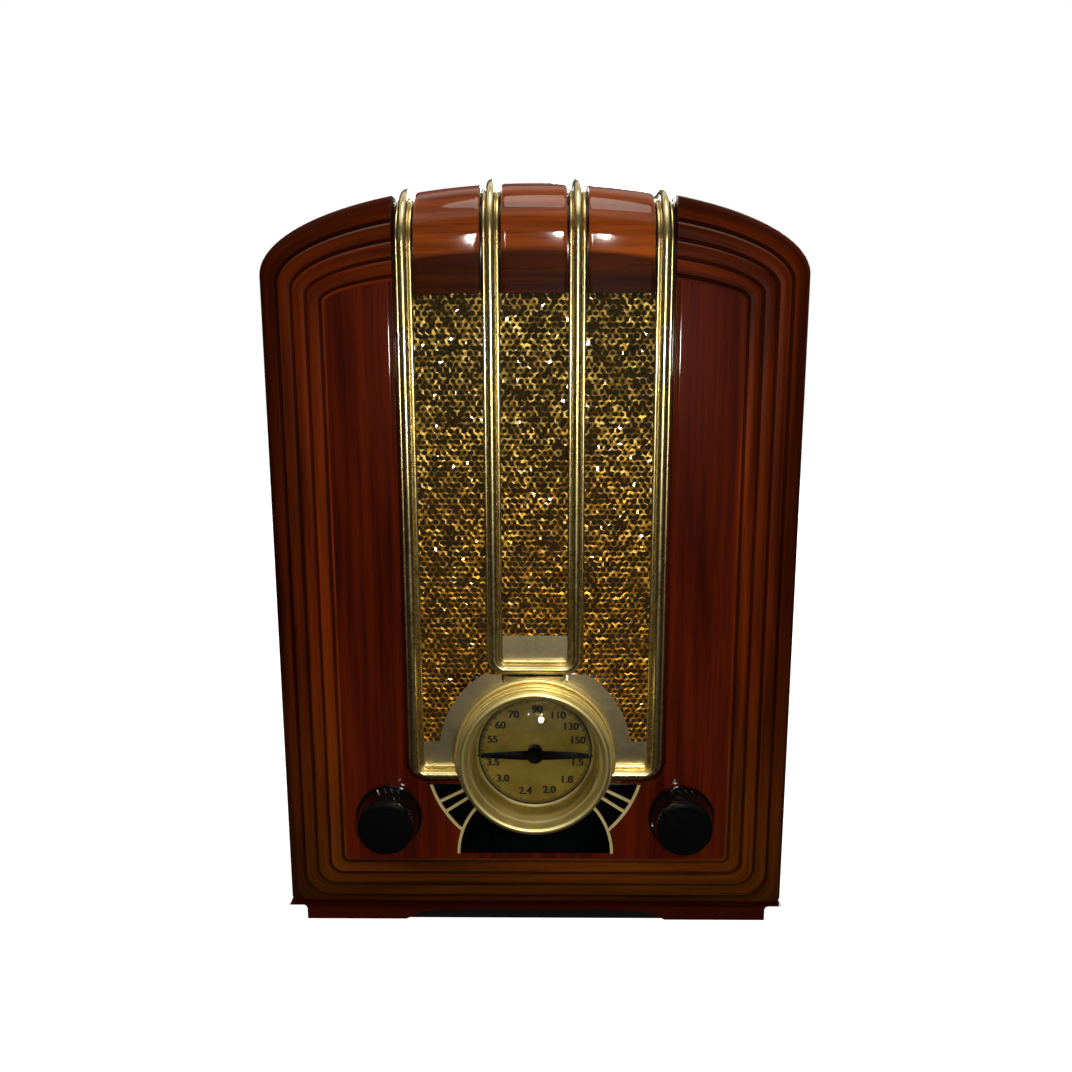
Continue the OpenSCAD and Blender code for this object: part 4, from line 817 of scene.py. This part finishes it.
def dome(radius, rise, y_edge, steps):
    """Points (radius, y) of a shallow dome from its middle to its edge."""
    ball = (radius ** 2 + rise ** 2) / (2 * rise)
    span = math.asin(radius / ball)
    return [(ball * math.sin(t), y_edge - rise + ball * (1 - math.cos(t))) for t in
            (span * i / steps for i in range(steps + 1))]


glass_steps = 28
outside = dome(glass_radius, glass_rise, glass_back - glass_thick, glass_steps)
inside = dome(glass_radius, glass_rise, glass_back, glass_steps)
axis_gap = 0.02 * mm
glass_profile = [(max(r, axis_gap), y) for r, y in outside + inside[::-1]]
dial_glass = clear_glass("dial_glass", (1, 1, 0.99))
turned("domed_glass", glass_profile, dial_glass, "dial_glass", "cabinet", "dial_glass", sharp=50)


# The dial is printed on a lacquered gold-coloured plate: black scale ticks round its edge and plain
# numbers, the medium wave above and the short wave below.
dress(["dial_plate"],
      worn_metal("gold_face", (0.52, 0.375, 0.07), (0.3, 0.205, 0.035), 0.42, 0.6, 45, 0.02, 0.35))
print_black, tree, surface = new_material("print_black")
thin_ink = spread(tree, stretched_noise(tree, own_place(tree), (1, 1, 1), 900, 3), 0.45, 0.7)
tree.links.new(blend_colors(tree, thin_ink, (0.012, 0.01, 0.008, 1), (0.05, 0.04, 0.025, 1)),
               surface["Base Color"])
surface["Roughness"].default_value = 0.5
print_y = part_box("dial_plate")[0].y
print_thick, print_sunk = 0.08 * mm, 0.2 * mm
tick_outer = 30.6 * mm
tick_long, tick_short = 2.4 * mm, 1.5 * mm
tick_bold, tick_fine, tick_low = 0.55 * mm, 0.4 * mm, 0.5 * mm
upper_ticks, upper_half = 120, 98
lower_ticks, lower_from, lower_sweep = 69, 106, 148
ring_in, ring_out, ring_steps, ring_overlap = 0.1 * mm, 0.8 * mm, 180, 1.05
print_points, print_faces = [], []


def print_tick(angle, inner, outer, width):
    """A printed stroke from the inner to the outer radius, at an angle clockwise from the top."""
    along = (math.sin(angle), math.cos(angle))
    across = (along[1] * width / 2, -along[0] * width / 2)
    base = len(print_points)
    for y in (print_y - print_thick, print_y + print_sunk):
        for r, s in ((inner, -1), (inner, 1), (outer, 1), (outer, -1)):
            print_points.append((along[0] * r + s * across[0], y, dial_z + along[1] * r + s * across[1]))
    print_faces.append((base, base + 1, base + 2, base + 3))
    for i, k in ((0, 1), (1, 2), (2, 3), (3, 0)):
        print_faces.append((base + i, base + 4 + i, base + 4 + k, base + k))


for i in range(upper_ticks + 1):
    swing = math.radians(-upper_half + 2 * upper_half * i / upper_ticks)
    length, width = (tick_long, tick_bold) if i % 5 == 0 else (tick_short, tick_fine)
    print_tick(swing, tick_outer - length, tick_outer, width)
for i in range(lower_ticks + 1):
    swing = math.radians(lower_from + lower_sweep * i / lower_ticks)
    length = tick_long if i % 6 == 0 else tick_short
    print_tick(swing, tick_outer - length, tick_outer, tick_low)
ring_width = 2 * math.pi * tick_outer / ring_steps * ring_overlap
for i in range(ring_steps):
    swing = math.radians(360 * (i + 0.5) / ring_steps)
    print_tick(swing, tick_outer - ring_in, tick_outer + ring_out, ring_width)


number_radius, number_size = 24.2 * mm, 5.9 * mm
number_spread = 0.012
number_nudge = 0.2 * mm


def print_number(text, angle, nudge):
    """Prints an upright number, centred at an angle clockwise from the top and nudged to the right."""
    curve = bpy.data.curves.new("number", "FONT")
    curve.body = text
    curve.size = number_size
    curve.align_x, curve.align_y = "CENTER", "CENTER"
    curve.offset = number_size * number_spread
    curve.extrude = print_thick / 2
    holder = bpy.data.objects.new("number", curve)
    bpy.context.scene.collection.objects.link(holder)
    shape = holder.evaluated_get(bpy.context.evaluated_depsgraph_get()).to_mesh()
    base = len(print_points)
    x, z = number_radius * math.sin(angle) + nudge, dial_z + number_radius * math.cos(angle)
    for vertex in shape.vertices:
        print_points.append((x + vertex.co.x, print_y - print_thick / 2 - vertex.co.z, z + vertex.co.y))
    print_faces.extend(tuple(base + v for v in face.vertices) for face in shape.polygons)
    bpy.data.objects.remove(holder)
    bpy.data.curves.remove(curve)


upper_scale = (("55", -74), ("60", -52), ("70", -29), ("90", 3), ("110", 31), ("130", 54), ("150", 75))
lower_scale = (("1.5", 106), ("1.8", 134), ("2.0", 161), ("2.4", 193), ("3.0", 228), ("3.5", 254))
for text, degrees in upper_scale + lower_scale:
    for nudge in (-number_nudge, number_nudge):
        print_number(text, math.radians(degrees), nudge)
mesh_piece("dial_printing", print_points, print_faces, print_black, "dial_face", "cabinet", sharp_angle=30)


# The pointer is black enamelled steel, ridged along its length, with a fine tip at each end. Its hub
# is pressed on the capacitor's shaft, which comes through the dial.
black_enamel = worn_stuff("black_enamel", (0.0006, 0.0009, 0.0011), (0.002, 0.0026, 0.003), 0.16, 0.34,
                          35, 0.02)
pointer_low, pointer_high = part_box("pointer")
pointer_long = pointer_high.x
root = 0.085 * pointer_long
wire_from = 0.92
blade_sink, wire_sink, ridge_proud = 0.45 * mm, 0.1 * mm, 0.3 * mm
blade_outline = ((0.0, 1.0), (0.3, 0.92), (0.9, 0.5), (0.93, 0.42), (0.935, 0.09), (1.0, 0.09))
pointer_rings = []
for share, width in blade_outline:
    x, half = share * pointer_long, root * width
    sink = blade_sink if share < wire_from else wire_sink
    pointer_rings.append([(x, pointer_high.y, dial_z - half), (x, pointer_low.y + sink, dial_z - half),
                          (x, pointer_low.y - ridge_proud, dial_z),
                          (x, pointer_low.y + sink, dial_z + half), (x, pointer_high.y, dial_z + half)])
mirrored_rings = [[(-x, y, z) for x, y, z in ring] for ring in reversed(pointer_rings[1:])]
points, faces = skin(mirrored_rings + pointer_rings)
mesh_piece("pointer_blade", points, faces, black_enamel, "black_enamel", "tuning_rotor", "pointer",
           sharp_angle=20)
hub_profile = [(axis_gap, pointer_low.y - 2.6 * mm), (1.6 * mm, pointer_low.y - 2.5 * mm),
               (2.2 * mm, pointer_low.y - 2.0 * mm), (2.4 * mm, pointer_low.y - 0.4 * mm),
               (4.5 * mm, pointer_low.y - 0.2 * mm), (4.7 * mm, pointer_high.y), (axis_gap, pointer_high.y)]
turned("pointer_hub", hub_profile, black_enamel, "black_enamel", "tuning_rotor", "pointer", steps=48)


# Under the bezel is a black enamelled apron with raised brass lines: the fan's rim, the arch and two
# spokes a side. It is pinned to the front board; both keep the solid's own shape.
dress(["apron"], black_enamel)
dress(["apron_lines"],
      worn_metal("line_gold", (0.62, 0.48, 0.2), (0.4, 0.3, 0.11), 0.35, 0.5, 60, 0.02, metallic=0.25))


# The knobs are black bakelite with groups of slanted flutes, pushed on the shafts; their shape is the
# solid's own.
dress(["tuning_knob", "volume_knob"],
      worn_stuff("bakelite", (0.0012, 0.0014, 0.002), (0.003, 0.003, 0.0035), 0.1, 0.22, 60, 0.08, 0.9))


# The shell behind the front: ply sides and a bent roof faced with walnut veneer, on a solid plinth.
# Veneer runs up the sides and over the roof; the plinth's grain runs along each rail.
dress(["side_left", "side_right"],
      lacquered_wood("veneer_shell", "up", (0.1, 0.0115, 0.0014), (0.036, 0.0038, 0.0006)))
dress(["roof"], lacquered_wood("veneer_roof", "back", (0.11, 0.013, 0.0016), (0.038, 0.004, 0.0006)))
for name, grain, rails in (("plinth_front", "across", ["foot_front", "foot_back"]),
                           ("plinth_side", "back", ["foot_left", "foot_right"])):
    dress(rails, lacquered_wood(name, grain, (0.06, 0.006, 0.0008), (0.02, 0.002, 0.0004), coat=0.6))


# Inside, the floor, the corner posts and the baffle are bare plywood and pine; the baffle's front is
# brushed black where it would show through the grille.
dress(["floor_board"],
      lacquered_wood("pale_ply", "across", (0.46, 0.27, 0.12), (0.26, 0.13, 0.05), 0.5, coat=0.0))
dress(["corner_blocks"],
      lacquered_wood("pine_posts", "up", (0.5, 0.3, 0.14), (0.28, 0.15, 0.06), 0.5, coat=0.0))
baffle_wood, tree, surface = new_material("baffle_wood")
wood = add(tree, "ShaderNodeGroup", {"node_tree": wood_grain}, Place=own_place(tree),
           Light=(0.42, 0.25, 0.11, 1), Dark=(0.22, 0.11, 0.045, 1), Figure=0.5).outputs
facing = part_of(tree, add(tree, "ShaderNodeNewGeometry").outputs["True Normal"], "Y")
painted = math_node(tree, "LESS_THAN", facing, -0.5)
front_black = blend_colors(tree, painted, wood["Color"], (0.012, 0.009, 0.006, 1))
tree.links.new(front_black, surface["Base Color"])
surface["Roughness"].default_value = 0.8
dress(["baffle_board"], baffle_wood)


# The loudspeaker: a basket pressed from zinc-plated steel and screwed to the baffle, a felted paper
# cone, the wound field coil in black cloth on its back, and the output transformer on top.
iron_dark = worn_metal("iron_dark", (0.1, 0.095, 0.09), (0.16, 0.09, 0.05), 0.45, 0.75, 35, 0.15, 0.4)
dress(["speaker_basket"], worn_metal("zinc_grey", (0.42, 0.43, 0.43), (0.2, 0.19, 0.17), 0.32, 0.6, 30))
dress(["speaker_cone"],
      worn_stuff("cone_paper", (0.035, 0.028, 0.022), (0.07, 0.055, 0.04), 0.85, 0.95, 80, 0.5))
dress(["field_coil"], worn_stuff("coil_black", (0.02, 0.02, 0.022), (0.06, 0.055, 0.05), 0.5, 0.8, 40, 0.2))
dress(["output_transformer"], iron_dark)


# The chassis is a pan folded from tinned steel, open below, and its turned-in lips are bolted down
# through the floor. Threaded brass bushes in its front carry the shafts of the controls.
tinned = worn_metal("tinned_steel", (0.5, 0.49, 0.46), (0.25, 0.21, 0.16), 0.34, 0.62, 25, 0.06)
bright_steel = worn_metal("bright_steel", (0.56, 0.56, 0.57), (0.3, 0.28, 0.26), 0.18, 0.4, 70)
dress(["chassis"], tinned)
dress(["chassis_bolts"], bright_steel)
dress(["shaft_bushes"], worn_metal("bush_brass", (0.62, 0.47, 0.22), (0.3, 0.21, 0.1), 0.3, 0.5, 60))


# The tuning capacitor is a steel trough sunk in the chassis, its shaft in line with the dial. Bright
# aluminium plates on the shaft turn into the gaps between fixed ones, which are strung on rods.
dress(["gang_frame", "rotor_shaft"], bright_steel)
dress(["stator_plates", "rotor_plates"],
      worn_metal("plate_aluminium", (0.75, 0.75, 0.74), (0.5, 0.5, 0.48), 0.25, 0.45, 60))


# The tuning drive: the steel spindle of the right knob pulls a waxed cord, which is looped round a
# drum of pressed board on the capacitor's shaft.
dress(["drive_drum"], worn_stuff("drum_board", (0.16, 0.1, 0.045), (0.09, 0.05, 0.02), 0.45, 0.65, 60, 0.2))
dress(["drive_cord"], worn_stuff("waxed_cord", (0.2, 0.15, 0.08), (0.11, 0.08, 0.04), 0.7, 0.9, 400, 0.6))
dress(["tuning_spindle"], bright_steel)


# The volume control is a round can of plated steel with a turning shaft, held to the chassis by the
# nut on its bush.
dress(["volume_control", "volume_shaft"], bright_steel)


# On the deck stand the square aluminium cans of the intermediate-frequency coils, the round one of
# the smoothing capacitor, and the power transformer, an iron core with its winding, screwed by its feet.
dress(["coil_cans", "smoothing_can"],
      worn_metal("can_aluminium", (0.68, 0.68, 0.68), (0.42, 0.41, 0.38), 0.28, 0.5, 30))
dress(["power_transformer"], iron_dark)


# The valves have shouldered glass bulbs cemented in brown bakelite bases and plugged into paxolin
# sockets on the deck. A tinned shield, open at the top, stands over one of them.
base_brown = worn_stuff("base_bakelite", (0.03, 0.018, 0.012), (0.06, 0.035, 0.025), 0.25, 0.45, 60, 0.05)
paxolin = worn_stuff("paxolin", (0.15, 0.07, 0.03), (0.09, 0.04, 0.018), 0.4, 0.6, 80, 0.1)
dress(["valve_bulbs"], clear_glass("valve_glass", (0.86, 0.9, 0.9), 0.04))
dress(["valve_bases"], base_brown)
dress(["valve_sockets"], paxolin)
dress(["valve_shield"], tinned)


# The dial lamp is a small frosted bulb in a tinned holder, on a bracket from the capacitor's frame
# that brings it over the drum.
dress(["dial_lamp"], clear_glass("lamp_glass", (1.0, 0.93, 0.75), 0.3))
dress(["lamp_holder"], tinned)


# On the back of the chassis are a paxolin strip with the aerial and earth terminals, the band switch
# with its bakelite lever, and a rubber grommet for the mains lead.
dress(["terminal_strip", "band_switch"], paxolin)
dress(["band_lever"], base_brown)
dress(["mains_grommet"],
      worn_stuff("grommet_rubber", (0.02, 0.02, 0.02), (0.05, 0.048, 0.045), 0.7, 0.9, 60, 0.2))
